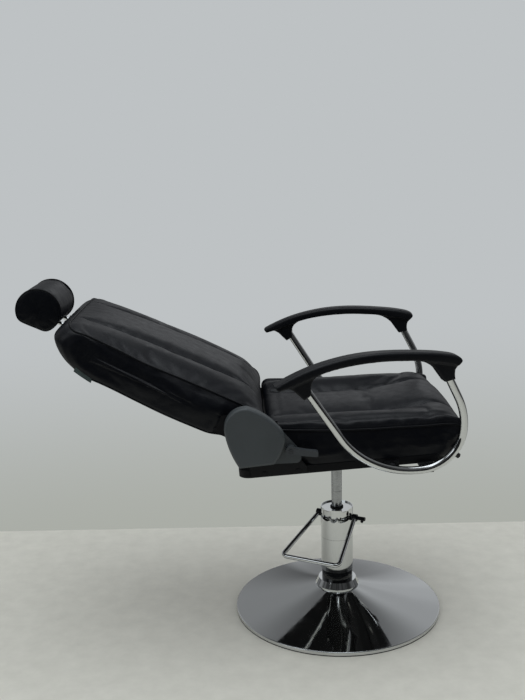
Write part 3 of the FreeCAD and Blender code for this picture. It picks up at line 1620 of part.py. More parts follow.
roll_wires = [roll_section(-s * v.headrest_half_width, k) for s, k in roll_rows]
roll_wires += [roll_section(s * v.headrest_half_width, k) for s, k in reversed(roll_rows)]
roll = Part.makeLoft(roll_wires, True, True)
head_board_low = v.headrest_height - v.headrest_board_height / 2
head_board = Part.makeBox(
    v.headrest_board_thickness, 2 * v.headrest_board_half_width, v.headrest_board_height,
    Vector(-v.headrest_flat, -v.headrest_board_half_width, head_board_low),
)
roll = roll.cut(Part.makeBox(
    v.headrest_board_thickness + v.overrun, 2 * v.headrest_board_half_width,
    v.headrest_board_height,
    Vector(-v.headrest_flat - v.overrun, -v.headrest_board_half_width, head_board_low),
))
posts = []
for y in post_ys:
    low = Vector(v.post_forward, y, v.post_bottom)
    post = Part.makeCylinder(rod_r, head_board_low + v.post_socket - v.post_bottom, low)
    posts.append(post)
    roll = roll.cut(Part.makeCylinder(rod_r + v.fit_gap, head_board_low, Vector(v.post_forward, y, 0)))
    head_board = head_board.cut(post)
shape_node("headrest_posts", Part.makeCompound(posts), back_place)
shape_node("headrest_board", head_board, back_place)
shape_node("headrest_cushion", roll, back_place)

doc.recompute()
for obj in doc.Objects:
    if "Invalid" in obj.State or "Error" in obj.State:
        raise RuntimeError("%s is %s" % (obj.Label, obj.State))
for obj in nodes:
    if obj.Shape.isNull() or not obj.Shape.isValid():
        raise RuntimeError("%s has no valid shape" % obj.Label)
    if not obj.Shape.Solids:
        raise RuntimeError("%s has no solid" % obj.Label)

os.makedirs("parts", exist_ok=True)
for obj in nodes:
    obj.Shape.exportStep("parts/%s.step" % obj.Label)
print(len(nodes), "nodes")
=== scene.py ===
import json
import math

import bmesh
import bpy
import numpy as np
from mathutils import Matrix, Vector
from mathutils.bvhtree import BVHTree
from mathutils.kdtree import KDTree


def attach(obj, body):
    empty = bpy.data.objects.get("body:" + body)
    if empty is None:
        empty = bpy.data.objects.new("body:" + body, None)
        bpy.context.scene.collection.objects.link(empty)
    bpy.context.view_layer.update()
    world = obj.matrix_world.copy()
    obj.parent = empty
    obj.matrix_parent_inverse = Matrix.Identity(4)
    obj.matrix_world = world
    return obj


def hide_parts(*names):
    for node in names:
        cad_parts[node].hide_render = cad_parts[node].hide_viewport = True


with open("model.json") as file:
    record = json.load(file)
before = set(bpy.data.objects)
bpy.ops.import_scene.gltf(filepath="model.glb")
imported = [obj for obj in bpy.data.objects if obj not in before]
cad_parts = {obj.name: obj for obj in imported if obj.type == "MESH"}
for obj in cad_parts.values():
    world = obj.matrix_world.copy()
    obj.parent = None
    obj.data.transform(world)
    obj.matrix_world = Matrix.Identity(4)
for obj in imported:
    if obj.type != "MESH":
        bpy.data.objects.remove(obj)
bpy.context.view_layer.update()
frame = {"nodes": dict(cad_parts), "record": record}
scene = bpy.context.scene
nodes = frame["nodes"]
print("frame loaded,", len(nodes), "parts")


# small helpers

def deselectAll():
    bpy.ops.object.select_all(action="DESELECT")


def makeActive(piece):
    deselectAll()
    piece.select_set(True)
    bpy.context.view_layer.objects.active = piece


def shadeSmooth(piece):
    makeActive(piece)
    bpy.ops.object.shade_smooth()


def meshPiece(name, points, faces):
    mesh = bpy.data.meshes.new(name)
    mesh.from_pydata([tuple(p) for p in points], [], faces)
    mesh.update()
    piece = bpy.data.objects.new(name, mesh)
    scene.collection.objects.link(piece)
    return piece


def applyModifier(piece, kind, **settings):
    modifier = piece.modifiers.new(kind.lower(), kind)
    for key, value in settings.items():
        setattr(modifier, key, value)
    makeActive(piece)
    bpy.ops.object.modifier_apply(modifier=modifier.name)


def meshPoints(piece):
    points = np.zeros(len(piece.data.vertices) * 3)
    piece.data.vertices.foreach_get("co", points)
    return points.reshape(-1, 3)


def setPoints(piece, points):
    piece.data.vertices.foreach_set("co", np.asarray(points, dtype=np.float32).ravel())
    piece.data.update()


def recalculateNormals(piece, merge=None):
    makeActive(piece)
    bpy.ops.object.mode_set(mode="EDIT")
    bpy.ops.mesh.select_all(action="SELECT")
    if merge:
        bpy.ops.mesh.remove_doubles(threshold=merge)
    bpy.ops.mesh.normals_make_consistent(inside=False)
    bpy.ops.object.mode_set(mode="OBJECT")


def dress(piece, finish, body=None, slot=None):
    piece.data.materials.clear()
    piece.data.materials.append(finish)
    if body:
        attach(piece, body)


def smoothStep(low, high, values):
    t = np.clip((values - low) / (high - low), 0, 1)
    return t * t * (3 - 2 * t)


# camera, at the place the photograph was taken from

cameraView = {
    "place": (-0.2552, -2.4849, 1.2770),
    "yaw": -1.292,
    "pitch": 11.864,
    "roll": -1.334,
    "lens": 48.106,
    "sensor": 36,
}
cameraData = bpy.data.cameras.new("camera")
cameraData.lens = cameraView["lens"]
cameraData.sensor_width = cameraView["sensor"]
camera = bpy.data.objects.new("camera", cameraData)
scene.collection.objects.link(camera)
camera.matrix_world = (
    Matrix.Translation(cameraView["place"])
    @ Matrix.Rotation(math.radians(cameraView["yaw"]), 4, "Z")
    @ Matrix.Rotation(math.radians(90 - cameraView["pitch"]), 4, "X")
    @ Matrix.Rotation(math.radians(cameraView["roll"]), 4, "Z")
)
scene.camera = camera
scene.view_settings.view_transform = "Standard"
print("camera set")


# materials

def toLinear(hexColour):
    values = [int(hexColour[i:i + 2], 16) / 255 for i in (1, 3, 5)]
    return tuple(
        c / 12.92 if c <= 0.04045 else ((c + 0.055) / 1.055) ** 2.4 for c in values
    ) + (1.0,)


def setInputs(tree, node, inputs):
    for key, value in inputs.items():
        if isinstance(value, bpy.types.NodeSocket):
            tree.links.new(value, node.inputs[key])
        else:
            node.inputs[key].default_value = value


def addNode(tree, kind, inputs=None, **settings):
    node = tree.nodes.new(kind)
    for key, value in settings.items():
        setattr(node, key, value)
    setInputs(tree, node, inputs or {})
    return node


def newMaterial(name):
    finish = bpy.data.materials.new(name)
    finish.use_nodes = True
    tree = finish.node_tree
    shader = tree.nodes["Principled BSDF"]
    place = addNode(tree, "ShaderNodeTexCoord").outputs["Object"]
    return finish, tree, shader, place


# Artificial leather, a calendered and embossed PVC on knit: a pebble grain with soft creases
# gives the eye broken satin highlights, brighter where it is stretched.
leatherSkin = {"crease": 0.022, "creaseDepth": 0.0011, "broad": 0.11, "grainDepth": 0.12}


def artificialLeather(name, dark, light, rough, grain, ior=1.36):
    finish, tree, shader, place = newMaterial(name)
    pebbles = addNode(tree, "ShaderNodeTexVoronoi", {
        "Vector": place, "Scale": 1 / grain, "Randomness": 0.9,
    }, feature="DISTANCE_TO_EDGE").outputs["Distance"]
    pebbleHeight = addNode(tree, "ShaderNodeMapRange", {
        "Value": pebbles, "From Min": 0.0, "From Max": 0.32,
    }).outputs["Result"]
    creases = addNode(tree, "ShaderNodeTexNoise", {
        "Vector": place, "Scale": 1 / leatherSkin["crease"],
        "Detail": 4.0, "Roughness": 0.55, "Distortion": 0.6,
    }).outputs["Fac"]
    broad = addNode(tree, "ShaderNodeTexNoise", {
        "Vector": place, "Scale": 1 / leatherSkin["broad"], "Detail": 3.0, "Roughness": 0.5,
    }).outputs["Fac"]
    # the colour is painted darker in the grain's valleys than on its pebbles, a painted shade in
    # the grain, over a tone that differs at random
    tone = addNode(tree, "ShaderNodeMapRange", {
        "Value": broad, "From Min": 0.3, "From Max": 0.7, "To Min": 0.25, "To Max": 0.75,
    }).outputs["Result"]
    tone = addNode(tree, "ShaderNodeMath", {0: tone, 1: pebbleHeight}, operation="MULTIPLY")
    colour = addNode(tree, "ShaderNodeMix", {
        0: tone.outputs[0], 6: toLinear(dark), 7: toLinear(light),
    }, data_type="RGBA").outputs[2]
    gloss = addNode(tree, "ShaderNodeMapRange", {
        "Value": creases, "From Min": 0.25, "From Max": 0.75,
        "To Min": rough - 0.06, "To Max": rough + 0.09,
    }).outputs["Result"]
    grainBump = addNode(tree, "ShaderNodeBump", {
        "Height": pebbleHeight, "Strength": 0.22,
        "Distance": grain * leatherSkin["grainDepth"],
    }).outputs["Normal"]
    creaseBump = addNode(tree, "ShaderNodeBump", {
        "Height": creases, "Strength": 0.35, "Distance": leatherSkin["creaseDepth"],
        "Normal": grainBump,
    }).outputs["Normal"]
    setInputs(tree, shader, {
        "Base Color": colour, "Roughness": gloss, "Normal": creaseBump, "IOR": ior,
    })
    return finish


# The grain is really about 1 mm across, drawn 2.4 mm, and 1.6 mm on the piping, so that it shows.
blackLeatherette = artificialLeather("blackLeatherette", "#04060c", "#0a0d13", 0.37, 0.0024, 1.34)
headLeatherette = artificialLeather("headLeatherette", "#03050b", "#090c12", 0.38, 0.0024, 1.3)
pipingLeatherette = artificialLeather("pipingLeatherette", "#030509", "#080a10", 0.44, 0.0016, 1.28)


# Bright chrome on polished steel: a mirror with the faint haze that wiping leaves.
chromeRipple = {"size": 0.16, "depth": 0.0012}


def chromeFinish(name, colour, clear, hazy, hazeSize):
    finish, tree, shader, place = newMaterial(name)
    haze = addNode(tree, "ShaderNodeTexNoise", {
        "Vector": place, "Scale": 1 / hazeSize, "Detail": 5.0, "Roughness": 0.65,
    }).outputs["Fac"]
    gloss = addNode(tree, "ShaderNodeMapRange", {
        "Value": haze, "From Min": 0.42, "From Max": 0.72, "To Min": clear, "To Max": hazy,
    }).outputs["Result"]
    ripple = addNode(tree, "ShaderNodeTexNoise", {
        "Vector": place, "Scale": 1 / chromeRipple["size"], "Detail": 1.0,
    }).outputs["Fac"]
    wave = addNode(tree, "ShaderNodeBump", {
        "Height": ripple, "Strength": 0.25, "Distance": chromeRipple["depth"],
    }).outputs["Normal"]
    setInputs(tree, shader, {
        "Base Color": toLinear(colour), "Roughness": gloss, "Normal": wave, "Metallic": 1.0,
    })
    return finish


chromePlate = chromeFinish("chromePlate", "#d4d6d6", 0.03, 0.10, 0.05)


# Machined steel: fine rings from the lathe or grinder run round the axis, 0.4 mm apart in life
# and drawn 1.2 mm or more so that they show.
steelMarks = {"round": 0.02, "stain": 0.018, "depth": 0.0002}


def machinedSteel(name, dark, light, rough, ringSize):
    finish, tree, shader, place = newMaterial(name)
    stretched = addNode(tree, "ShaderNodeMapping", {
        "Vector": place, "Scale": (
            steelMarks["round"] / ringSize, steelMarks["round"] / ringSize, 1 / ringSize,
        ),
    }).outputs["Vector"]
    rings = addNode(tree, "ShaderNodeTexNoise", {
        "Vector": stretched, "Scale": 1.0, "Detail": 3.0, "Roughness": 0.6,
    }).outputs["Fac"]
    stains = addNode(tree, "ShaderNodeTexNoise", {
        "Vector": place, "Scale": 1 / steelMarks["stain"], "Detail": 4.0,
    }).outputs["Fac"]
    colour = addNode(tree, "ShaderNodeMix", {
        0: stains, 6: toLinear(dark), 7: toLinear(light),
    }, data_type="RGBA").outputs[2]
    gloss = addNode(tree, "ShaderNodeMapRange", {
        "Value": rings, "From Min": 0.3, "From Max": 0.7,
        "To Min": rough - 0.06, "To Max": rough + 0.1,
    }).outputs["Result"]
    bump = addNode(tree, "ShaderNodeBump", {
        "Height": rings, "Strength": 0.2, "Distance": steelMarks["depth"],
    }).outputs["Normal"]
    setInputs(tree, shader, {
        "Base Color": colour, "Roughness": gloss, "Normal": bump, "Metallic": 1.0,
    })
    return finish


ramSteel = machinedSteel("hardChromedRamSteel", "#8d8f91", "#b4b6b8", 0.22, 0.0012)
zincSteel = machinedSteel("zincPlatedSteel", "#8e8f8c", "#b3b3ad", 0.34, 0.004)
springSteel = machinedSteel("temperedSpringSteel", "#44464a", "#6a6c70", 0.38, 0.002)


# Paint and moulded plastic share a shape: a fine even skin over a plain colour.
def skinFinish(name, dark, light, rough, skinSize, skinDepth, broadSize=0.09, spread=0.05, ior=1.5):
    finish, tree, shader, place = newMaterial(name)
    skin = addNode(tree, "ShaderNodeTexNoise", {
        "Vector": place, "Scale": 1 / skinSize, "Detail": 3.0, "Roughness": 0.6,
    }).outputs["Fac"]
    broad = addNode(tree, "ShaderNodeTexNoise", {
        "Vector": place, "Scale": 1 / broadSize, "Detail": 4.0, "Roughness": 0.6,
    }).outputs["Fac"]
    colour = addNode(tree, "ShaderNodeMix", {
        0: broad, 6: toLinear(dark), 7: toLinear(light),
    }, data_type="RGBA").outputs[2]
    gloss = addNode(tree, "ShaderNodeMapRange", {
        "Value": broad, "From Min": 0.3, "From Max": 0.7,
        "To Min": rough - spread, "To Max": rough + spread,
    }).outputs["Result"]
    bump = addNode(tree, "ShaderNodeBump", {
        "Height": skin, "Strength": 0.4, "Distance": skinDepth,
    }).outputs["Normal"]
    setInputs(tree, shader, {
        "Base Color": colour, "Roughness": gloss, "Normal": bump, "IOR": ior,
    })
    return finish


# Powder-coated steel: the orange peel of baked powder, 2 mm across, softens the highlights.
blackSteel = skinFinish("powderCoatedSteel", "#07080b", "#0d0e12", 0.45, 0.002, 0.00006, ior=1.35)
# Glossy enamel on the pump: smooth, with a faint orange peel that bends the highlights.
glossEnamel = skinFinish("glossBlackEnamel", "#0a0b0d", "#101214", 0.1, 0.004, 0.00005, 0.05, 0.04)
# Painted grey iron: the sand of the mould shows through the black enamel.
blackCasting = skinFinish("enamelledCastIron", "#151618", "#222326", 0.6, 0.0025, 0.0005)
# Skinned polyurethane foam: a soft matt skin with a fine moulded grain, drawn 1.6 mm.
armPadFoam = skinFinish(
    "skinnedPolyurethane", "#05070c", "#0b0d12", 0.44, 0.0016, 0.00012, ior=1.34,
)
# Moulded polypropylene with a spark-eroded texture: an even, slightly greenish dark grey.
coverPlastic = skinFinish("mouldedPolypropylene", "#363b3d", "#3f4446", 0.5, 0.0014, 0.00012)
leverPlastic = skinFinish("glassFilledNylon", "#2f3336", "#3a3e41", 0.46, 0.0014, 0.00012)
# Turned acetal: smooth and a little waxy.
guideAcetal = skinFinish("blackAcetal", "#101113", "#17181a", 0.3, 0.003, 0.00003)
# Moulded ABS panel with a leather-like texture.
panelAbs = skinFinish("texturedAbs", "#17181b", "#1f2023", 0.55, 0.0018, 0.0002)
# Nitrile and EPDM rubber: dull, with a bloom that greys it in patches.
sealRubber = skinFinish("nitrileRubber", "#101011", "#1a1a1b", 0.7, 0.002, 0.00008)
floorRubber = skinFinish("epdmRubber", "#131314", "#202021", 0.75, 0.002, 0.0001, 0.03, 0.08)
# Woven polyester tape, left blank: a dull green-grey.
tabPolyester = skinFinish("wovenPolyester", "#1d2927", "#3a4845", 0.6, 0.0009, 0.0002, 0.01)


# Plywood: 1.4 mm veneers show as stripes on the edge, with long grain on the faces. The wave
# pattern holds 20 bands in each unit.
veneer = {"thick": 0.0014, "bands": 20, "grain": (12.0, 260.0, 90.0), "depth": 0.0002}


def plywoodFinish(name, dark, light, rough, painted, ior=1.5):
    finish, tree, shader, place = newMaterial(name)
    layers = addNode(tree, "ShaderNodeTexWave", {
        "Vector": place, "Scale": 1 / (veneer["thick"] * veneer["bands"]),
        "Distortion": 1.5, "Detail": 2.0, "Detail Scale": 1.5,
    }, bands_direction="Z").outputs["Fac"]
    stretched = addNode(tree, "ShaderNodeMapping", {
        "Vector": place, "Scale": veneer["grain"],
    }).outputs["Vector"]
    grain = addNode(tree, "ShaderNodeTexNoise", {
        "Vector": stretched, "Scale": 1.0, "Detail": 5.0, "Roughness": 0.6,
    }).outputs["Fac"]
    both = addNode(tree, "ShaderNodeMath", {0: layers, 1: grain}, operation="MULTIPLY")
    colour = addNode(tree, "ShaderNodeMix", {
        0: grain if painted else both.outputs[0], 6: toLinear(dark), 7: toLinear(light),
    }, data_type="RGBA").outputs[2]
    bump = addNode(tree, "ShaderNodeBump", {
        "Height": grain, "Strength": 0.3, "Distance": veneer["depth"],
    }).outputs["Normal"]
    setInputs(tree, shader, {
        "Base Color": colour, "Roughness": rough, "Normal": bump, "IOR": ior,
    })
    return finish


boardPlywood = plywoodFinish("stainedBirchPlywood", "#0d0b09", "#1c1814", 0.62, False, 1.35)
panPlywood = plywoodFinish("blackStainedPlywood", "#050609", "#0b0c0f", 0.55, True, 1.28)

slotFinish = {
    "chrome_plate": chromePlate, "ram_steel": ramSteel, "zinc_steel": zincSteel,
    "spring_steel": springSteel, "black_steel": blackSteel, "black_casting": blackCasting,
    "black_gloss": glossEnamel, "black_leatherette": blackLeatherette,
    "headrest_leatherette": headLeatherette, "arm_pad_black": armPadFoam,
    "cover_grey": coverPlastic, "lever_grey": leverPlastic, "guide_black": guideAcetal,
    "panel_black": panelAbs, "seal_rubber": sealRubber, "floor_rubber": floorRubber,
    "pan_black": panPlywood, "board_wood": boardPlywood,
}
for part in frame["record"]["subparts"]:
    dress(nodes[part["node"]], slotFinish[part["material_slot"]])
print("materials made,", len(bpy.data.materials))


# outlines and grids for the upholstery

def arcThrough(start, middle, end, count):
    # points from start towards end, the end left out; a middle of None gives a straight run
    (ax, ay), (cx, cy) = start, end
    if middle is not None:
        bx, by = middle
        turn = 2 * (ax * (by - cy) + bx * (cy - ay) + cx * (ay - by))
        if abs(turn) > 1e-9:
            sa, sb, sc = ax * ax + ay * ay, bx * bx + by * by, cx * cx + cy * cy
            ux = (sa * (by - cy) + sb * (cy - ay) + sc * (ay - by)) / turn
            uy = (sa * (cx - bx) + sb * (ax - cx) + sc * (bx - ax)) / turn
            radius = math.hypot(ax - ux, ay - uy)
            first = math.atan2(ay - uy, ax - ux)
            half = (math.atan2(by - uy, bx - ux) - first) % math.tau
            sweep = (math.atan2(cy - uy, cx - ux) - first) % math.tau
            if half > sweep:
                sweep -= math.tau
            return [
                (ux + radius * math.cos(first + sweep * k / count),
                 uy + radius * math.sin(first + sweep * k / count))
                for k in range(count)
            ]
    return [(ax + (cx - ax) * k / count, ay + (cy - ay) * k / count) for k in range(count)]


def outlinePoints(corners, counts):
    points = []
    for i, (start, middle) in enumerate(corners):
        points += arcThrough(start, middle, corners[(i + 1) % len(corners)][0], counts[i])
    return np.array(points)


def sharesAt(rows, width):
    # rows hold a width share and its values; a smooth curve runs through them
    known = sorted(rows)
    places = np.array([row[0] for row in known])
    values = np.array([row[1:] for row in known])
    width = min(max(abs(width), places[0]), places[-1])
    i = min(int(np.searchsorted(places, width, side="right")) - 1, len(places) - 2)
    span = places[i + 1] - places[i]
    slopes = np.gradient(values, places, axis=0)
    t = (width - places[i]) / span
    return (
        (2 * t ** 3 - 3 * t ** 2 + 1) * values[i] + (t ** 3 - 2 * t ** 2 + t) * span * slopes[i]
        + (3 * t ** 2 - 2 * t ** 3) * values[i + 1] + (t ** 3 - t ** 2) * span * slopes[i + 1]
    )


def softened(outline, rounds):
    for _ in range(rounds):
        outline = outline * 0.5 + (np.roll(outline, 1, 0) + np.roll(outline, -1, 0)) * 0.25
    return outline


def capRings(edge, side, axis, shares, lifts):
    # rings that close an end: each point runs in towards its nearest place on a middle line
    (n0, s0), (n1, s1) = axis
    along = np.array((n1 - n0, s1 - s0))
    flat = edge[:, (0, 2)]
    t = np.clip(((flat - (n0, s0)) @ along) / (along @ along), 0, 1)
    middle = np.array((n0, s0)) + t[:, None] * along
    rings = []
    for share, lift in zip(shares, lifts):
        ring = edge.copy()
        ring[:, (0, 2)] = flat + (middle - flat) * share
        ring[:, 1] = edge[:, 1] + side * lift
        rings.append(ring)
    return rings


def closedGrid(rows, axis, shares, lifts):
    near, far = [capRings(rows[i], side, axis, shares, lifts) for i, side in ((0, -1), (-1, 1))]
    return np.array(near[::-1] + rows + far)


def bothSides(*runs):
    # width shares from the middle out, and the same on the other side
    widths = np.unique(np.concatenate(runs))
    return np.concatenate((-widths[:0:-1], widths))


def rowAt(grid, widths, share):
    # the rings of a cap stand before the rows, and as many after them
    return (len(grid) - len(widths)) // 2 + int(np.argmin(np.abs(widths - share)))


def gridPiece(name, rows):
    rows = np.array(rows)
    rowCount, columnCount = rows.shape[:2]
    faces = []
    for i in range(rowCount - 1):
        for j in range(columnCount):
            k = (j + 1) % columnCount
            faces.append((
                i * columnCount + j, i * columnCount + k,
                (i + 1) * columnCount + k, (i + 1) * columnCount + j,
            ))
    piece = meshPiece(name, rows.reshape(-1, 3), faces)
    shell = bmesh.new()
    shell.from_mesh(piece.data)
    shell.verts.ensure_lookup_table()
    for first in (0, (rowCount - 1) * columnCount):
        end = shell.faces.new([shell.verts[first + j] for j in range(columnCount)])
        bmesh.ops.triangulate(shell, faces=[end])
    bmesh.ops.recalc_face_normals(shell, faces=shell.faces)
    shell.to_mesh(piece.data)
    shell.free()
    return piece


def smoothPath(path, rounds, closed=False):
    path = np.array(path, dtype=float)
    for _ in range(rounds):
        ahead, behind = np.roll(path, -1, 0), np.roll(path, 1, 0)
        moved = path * 0.5 + (ahead + behind) * 0.25
        if not closed:
            moved[0], moved[-1] = path[0], path[-1]
        path = moved
    return path


def pathLengths(path):
    return np.concatenate(([0], np.cumsum(np.linalg.norm(np.diff(path, axis=0), axis=1))))


def pathTree(path):
    tree = KDTree(len(path))
    for i, p in enumerate(path):
        tree.insert(p, i)
    tree.balance()
    return tree


def evenPath(path, step, closed=False):
    path = np.array(path, dtype=float)
    if closed:
        path = np.vstack((path, path[:1]))
    lengths = pathLengths(path)
    count = max(int(round(lengths[-1] / step)), 2)
    places = np.linspace(0, lengths[-1], count + 1)
    if closed:
        places = places[:-1]
    return np.column_stack([np.interp(places, lengths, path[:, k]) for k in range(3)])


def nearPath(points, path, reach):
    tree = pathTree(path)
    return np.array([tree.find(p)[2] < reach for p in points])


# cloth simulation, capped so that the cushion keeps to its frame

leatherCloth = {"quality": 7, "mass": 0.35, "shearShare": 0.5, "bending": 1.5, "frames": 20}


def inflate(piece, sewn, cap, form):
    group = piece.vertex_groups.new(name="sewn")
    group.add([int(i) for i in np.flatnonzero(sewn)], 1.0, "REPLACE")
    cloth = piece.modifiers.new("cloth", "CLOTH")
    cloth.settings.quality = leatherCloth["quality"]
    cloth.settings.mass = leatherCloth["mass"]
    cloth.settings.tension_stiffness = form["stiffness"]
    cloth.settings.compression_stiffness = form["stiffness"]
    cloth.settings.shear_stiffness = form["stiffness"] * leatherCloth["shearShare"]
    cloth.settings.bending_stiffness = leatherCloth["bending"]
    cloth.settings.use_pressure = True
    cloth.settings.uniform_pressure_force = form["pressure"]
    cloth.settings.shrink_min = form["shrink"]
    cloth.settings.vertex_group_mass = "sewn"
    cloth.settings.effector_weights.gravity = 0
    cloth.collision_settings.use_collision = False
    cloth.point_cache.frame_start = 1
    cloth.point_cache.frame_end = leatherCloth["frames"]
    for step in range(1, leatherCloth["frames"] + 1):
        scene.frame_set(step)
    solved = piece.evaluated_get(bpy.context.evaluated_depsgraph_get())
    moved = np.zeros(len(solved.data.vertices) * 3)
    solved.data.vertices.foreach_get("co", moved)
    rest = meshPoints(piece)
    change = moved.reshape(-1, 3) - rest
    length = np.linalg.norm(change, axis=1)
    allowed = cap * np.tanh(length / np.maximum(cap, 1e-6))
    change *= (allowed / np.maximum(length, 1e-9))[:, None]
    piece.modifiers.remove(cloth)
    piece.vertex_groups.remove(group)
    setPoints(piece, rest + change)
    scene.frame_set(1)
    print("  ", piece.name, "swelled by up to %.1f mm" % (1000 * allowed.max()))


puckerFade = {"peak": 0.5, "end": 3}


def puckerAlong(piece, path, pucker, seed):
    # small gathers that fade away from a sewn line
    reach, height, spacing = pucker
    noise = np.random.default_rng(seed)
    lengths = pathLengths(path)
    knots = int(lengths[-1] / spacing) + 3
    wave = np.interp(
        lengths, np.linspace(0, lengths[-1], knots), noise.uniform(-1, 1, knots)
    )
    tree = pathTree(path)
    points = meshPoints(piece)
    normals = np.zeros(len(points) * 3)
    piece.data.vertices.foreach_get("normal", normals)
    normals = normals.reshape(-1, 3)
    for i, p in enumerate(points):
        _, k, away = tree.find(p)
        if away < reach * puckerFade["end"]:
            fade = math.exp(-((away - reach * puckerFade["peak"]) / reach) ** 2)
            points[i] += normals[i] * wave[k] * height * fade
    setPoints(piece, points)


def upholster(piece, sewn, cap, form, seams, seed, *look):
    # the cover swells, gathers at its seams and takes its finish
    inflate(piece, sewn, cap, form)
    for i, path in enumerate(seams):
        puckerAlong(piece, path, form["pucker"], seed + i)
    applyModifier(piece, "SUBSURF", levels=1, render_levels=1)
    shadeSmooth(piece)
    dress(piece, *look)


# sewn trim: piping and stitches, laid on the finished cushion

def surfaceTree(piece):
    return BVHTree.FromObject(piece, bpy.context.evaluated_depsgraph_get())


def laidOn(path, surface, lift):
    laid, ups = [], []
    for p in path:
        spot, normal, _, _ = surface.find_nearest(Vector(p))
        laid.append(np.array(spot + normal * lift))
        ups.append(np.array(normal))
    return np.array(laid), np.array(ups)


def pipingPiece(name, paths, radius, finish):
    curve = bpy.data.curves.new(name, "CURVE")
    curve.dimensions = "3D"
    curve.bevel_depth = radius
    curve.bevel_resolution = 3
    curve.use_fill_caps = True
    for path, closed in paths:
        spline = curve.splines.new("POLY")
        spline.points.add(len(path) - 1)
        spline.points.foreach_set("co", np.column_stack((path, np.ones(len(path)))).ravel())
        spline.use_cyclic_u = closed
    piece = bpy.data.objects.new(name, curve)
    scene.collection.objects.link(piece)
    makeActive(piece)
    bpy.ops.object.convert(target="MESH")
    piece = bpy.context.view_layer.objects.active
    shadeSmooth(piece)
    dress(piece, finish)
    return piece


def stitchesPiece(name, rows, surface, stitch, finish):
    # one stitch is modelled and repeated along each row, each copy turned to its seam
    deselectAll()
    bpy.ops.mesh.primitive_uv_sphere_add(segments=6, ring_count=4, radius=0.5)
    model = bpy.context.active_object
    bpy.ops.object.mode_set(mode="EDIT")
    bpy.ops.mesh.select_all(action="SELECT")
    bpy.ops.transform.resize(value=(stitch["thick"], stitch["thick"], stitch["length"]))
    bpy.ops.object.mode_set(mode="OBJECT")
    shape = meshPoints(model)
    shapeFaces = [tuple(face.vertices) for face in model.data.polygons]
    bpy.data.objects.remove(model)
    points, faces = [], []
    for row in rows:
        spots, ups = laidOn(row, surface, stitch["thick"] * stitch["lift"])
        for i in range(len(spots) - 1):
            way = spots[i + 1] - spots[i]
            way = way / max(np.linalg.norm(way), 1e-9)
            up = ups[i]
            across = np.cross(up, way)
            across = across / max(np.linalg.norm(across), 1e-9)
            base = len(points)
            centre = (spots[i] + spots[i + 1]) / 2
            for x, y, z in shape:
                points.append(centre + across * x + up * y * stitch["flatness"] + way * z)
            faces += [tuple(base + k for k in face) for face in shapeFaces]
    piece = meshPiece(name, points, faces)
    dress(piece, finish)
    shadeSmooth(piece)
    return piece


def besides(path, surface, aside, closed=False):
    # a line beside a path, on the surface
    spots, ups = laidOn(path, surface, 0)
    ahead = np.roll(spots, -1, 0) - np.roll(spots, 1, 0)
    if not closed:
        ahead[0], ahead[-1] = spots[1] - spots[0], spots[-1] - spots[-2]
    across = np.cross(ups, ahead)
    across /= np.maximum(np.linalg.norm(across, axis=1), 1e-9)[:, None]
    return laidOn(spots + across * aside, surface, 0)[0]


def pipingRun(line, surface, radius, closed, step=0.006):
    # the piping's middle line, pressed a little into the leather
    laid = laidOn(evenPath(line, step, closed), surface, radius)[0]
    return smoothPath(laid, 2, closed), closed


stitchShape = {"thick": 0.0009, "length": 0.0042, "lift": 0.12, "flatness": 0.6}
stitchStep = 0.0058
pipingLift = 0.35
besideSeam = 0.0075
besideChannel = 0.0042
threadPolyester = skinFinish(
    "bondedPolyesterThread", "#0e1015", "#191b20", 0.55, 0.0006, 0.0001, 0.004, ior=1.4,
)


def channelRows(lines, surface):
    # a row of stitches down each side of each channel
    return [
        besides(evenPath(line, stitchStep), surface, aside)
        for line in lines for aside in (-besideChannel, besideChannel)
    ]


# backrest cushion

backCushion = {
    "pivot": (-0.250, 0.0, 0.617), "lean": 65, "halfWidth": 0.2485, "top": 0.524,
    "front": 0.0805, "rear": 0.0428, "end": 0.047, "topCorner": 0.054,
    "channelPlace": 0.125, "channelDepth": 0.0036, "channelWidth": 0.010, "seamDepth": 0.0042,
    "seamWidth": 0.0021,
    "pressure": 2.4, "shrink": -0.004, "stiffness": 16, "swell": 0.006,
    "sideFrom": 0.243, "sideSwell": 0.0028, "pucker": (0.010, 0.0005, 0.022), "board": -0.030,
    "pipingRadius": 0.0026, "rearLift": 0.2,
    "hipSwell": 0.0088, "hipLow": 0.058, "hipLowRun": 0.016, "hipHigh": 0.150, "hipHighRun": 0.11,
    "hipFront": (0.012, 0.046), "hipBand": (0.236, 0.2475),
    "rearRoll": 0.0105, "rollLow": (0.015, 0.09), "rollHigh": (0.20, 0.40),
    "rollBand": (0.229, 0.240), "rollDepth": (0.022, 0.036),
    "seamShare": 0.975, "rearSeamShare": 0.99, "channelShare": 0.503,
}
backRows = (
    (1.0, 0.40, 0.93, 0.90), (0.98, 0.53, 1.0, 0.97), (0.965, 0.585, 1.0, 0.98),
    (0.90, 0.71, 1.0, 1.0), (0.76, 0.87, 1.0, 1.0), (0.56, 0.955, 1.0, 1.0),
    (0.22, 1.0, 1.0, 1.0), (0.0, 1.0, 1.0, 1.0),
)
backCounts = (14, 30, 24, 20, 20, 34, 18)


def leaned(point, pivot, degrees):
    turn = math.radians(-degrees)
    x, y, z = point[..., 0], point[..., 1], point[..., 2]
    return np.stack((
        x * math.cos(turn) + z * math.sin(turn) + pivot[0],
        y + pivot[1],
        -x * math.sin(turn) + z * math.cos(turn) + pivot[2],
    ), axis=-1)


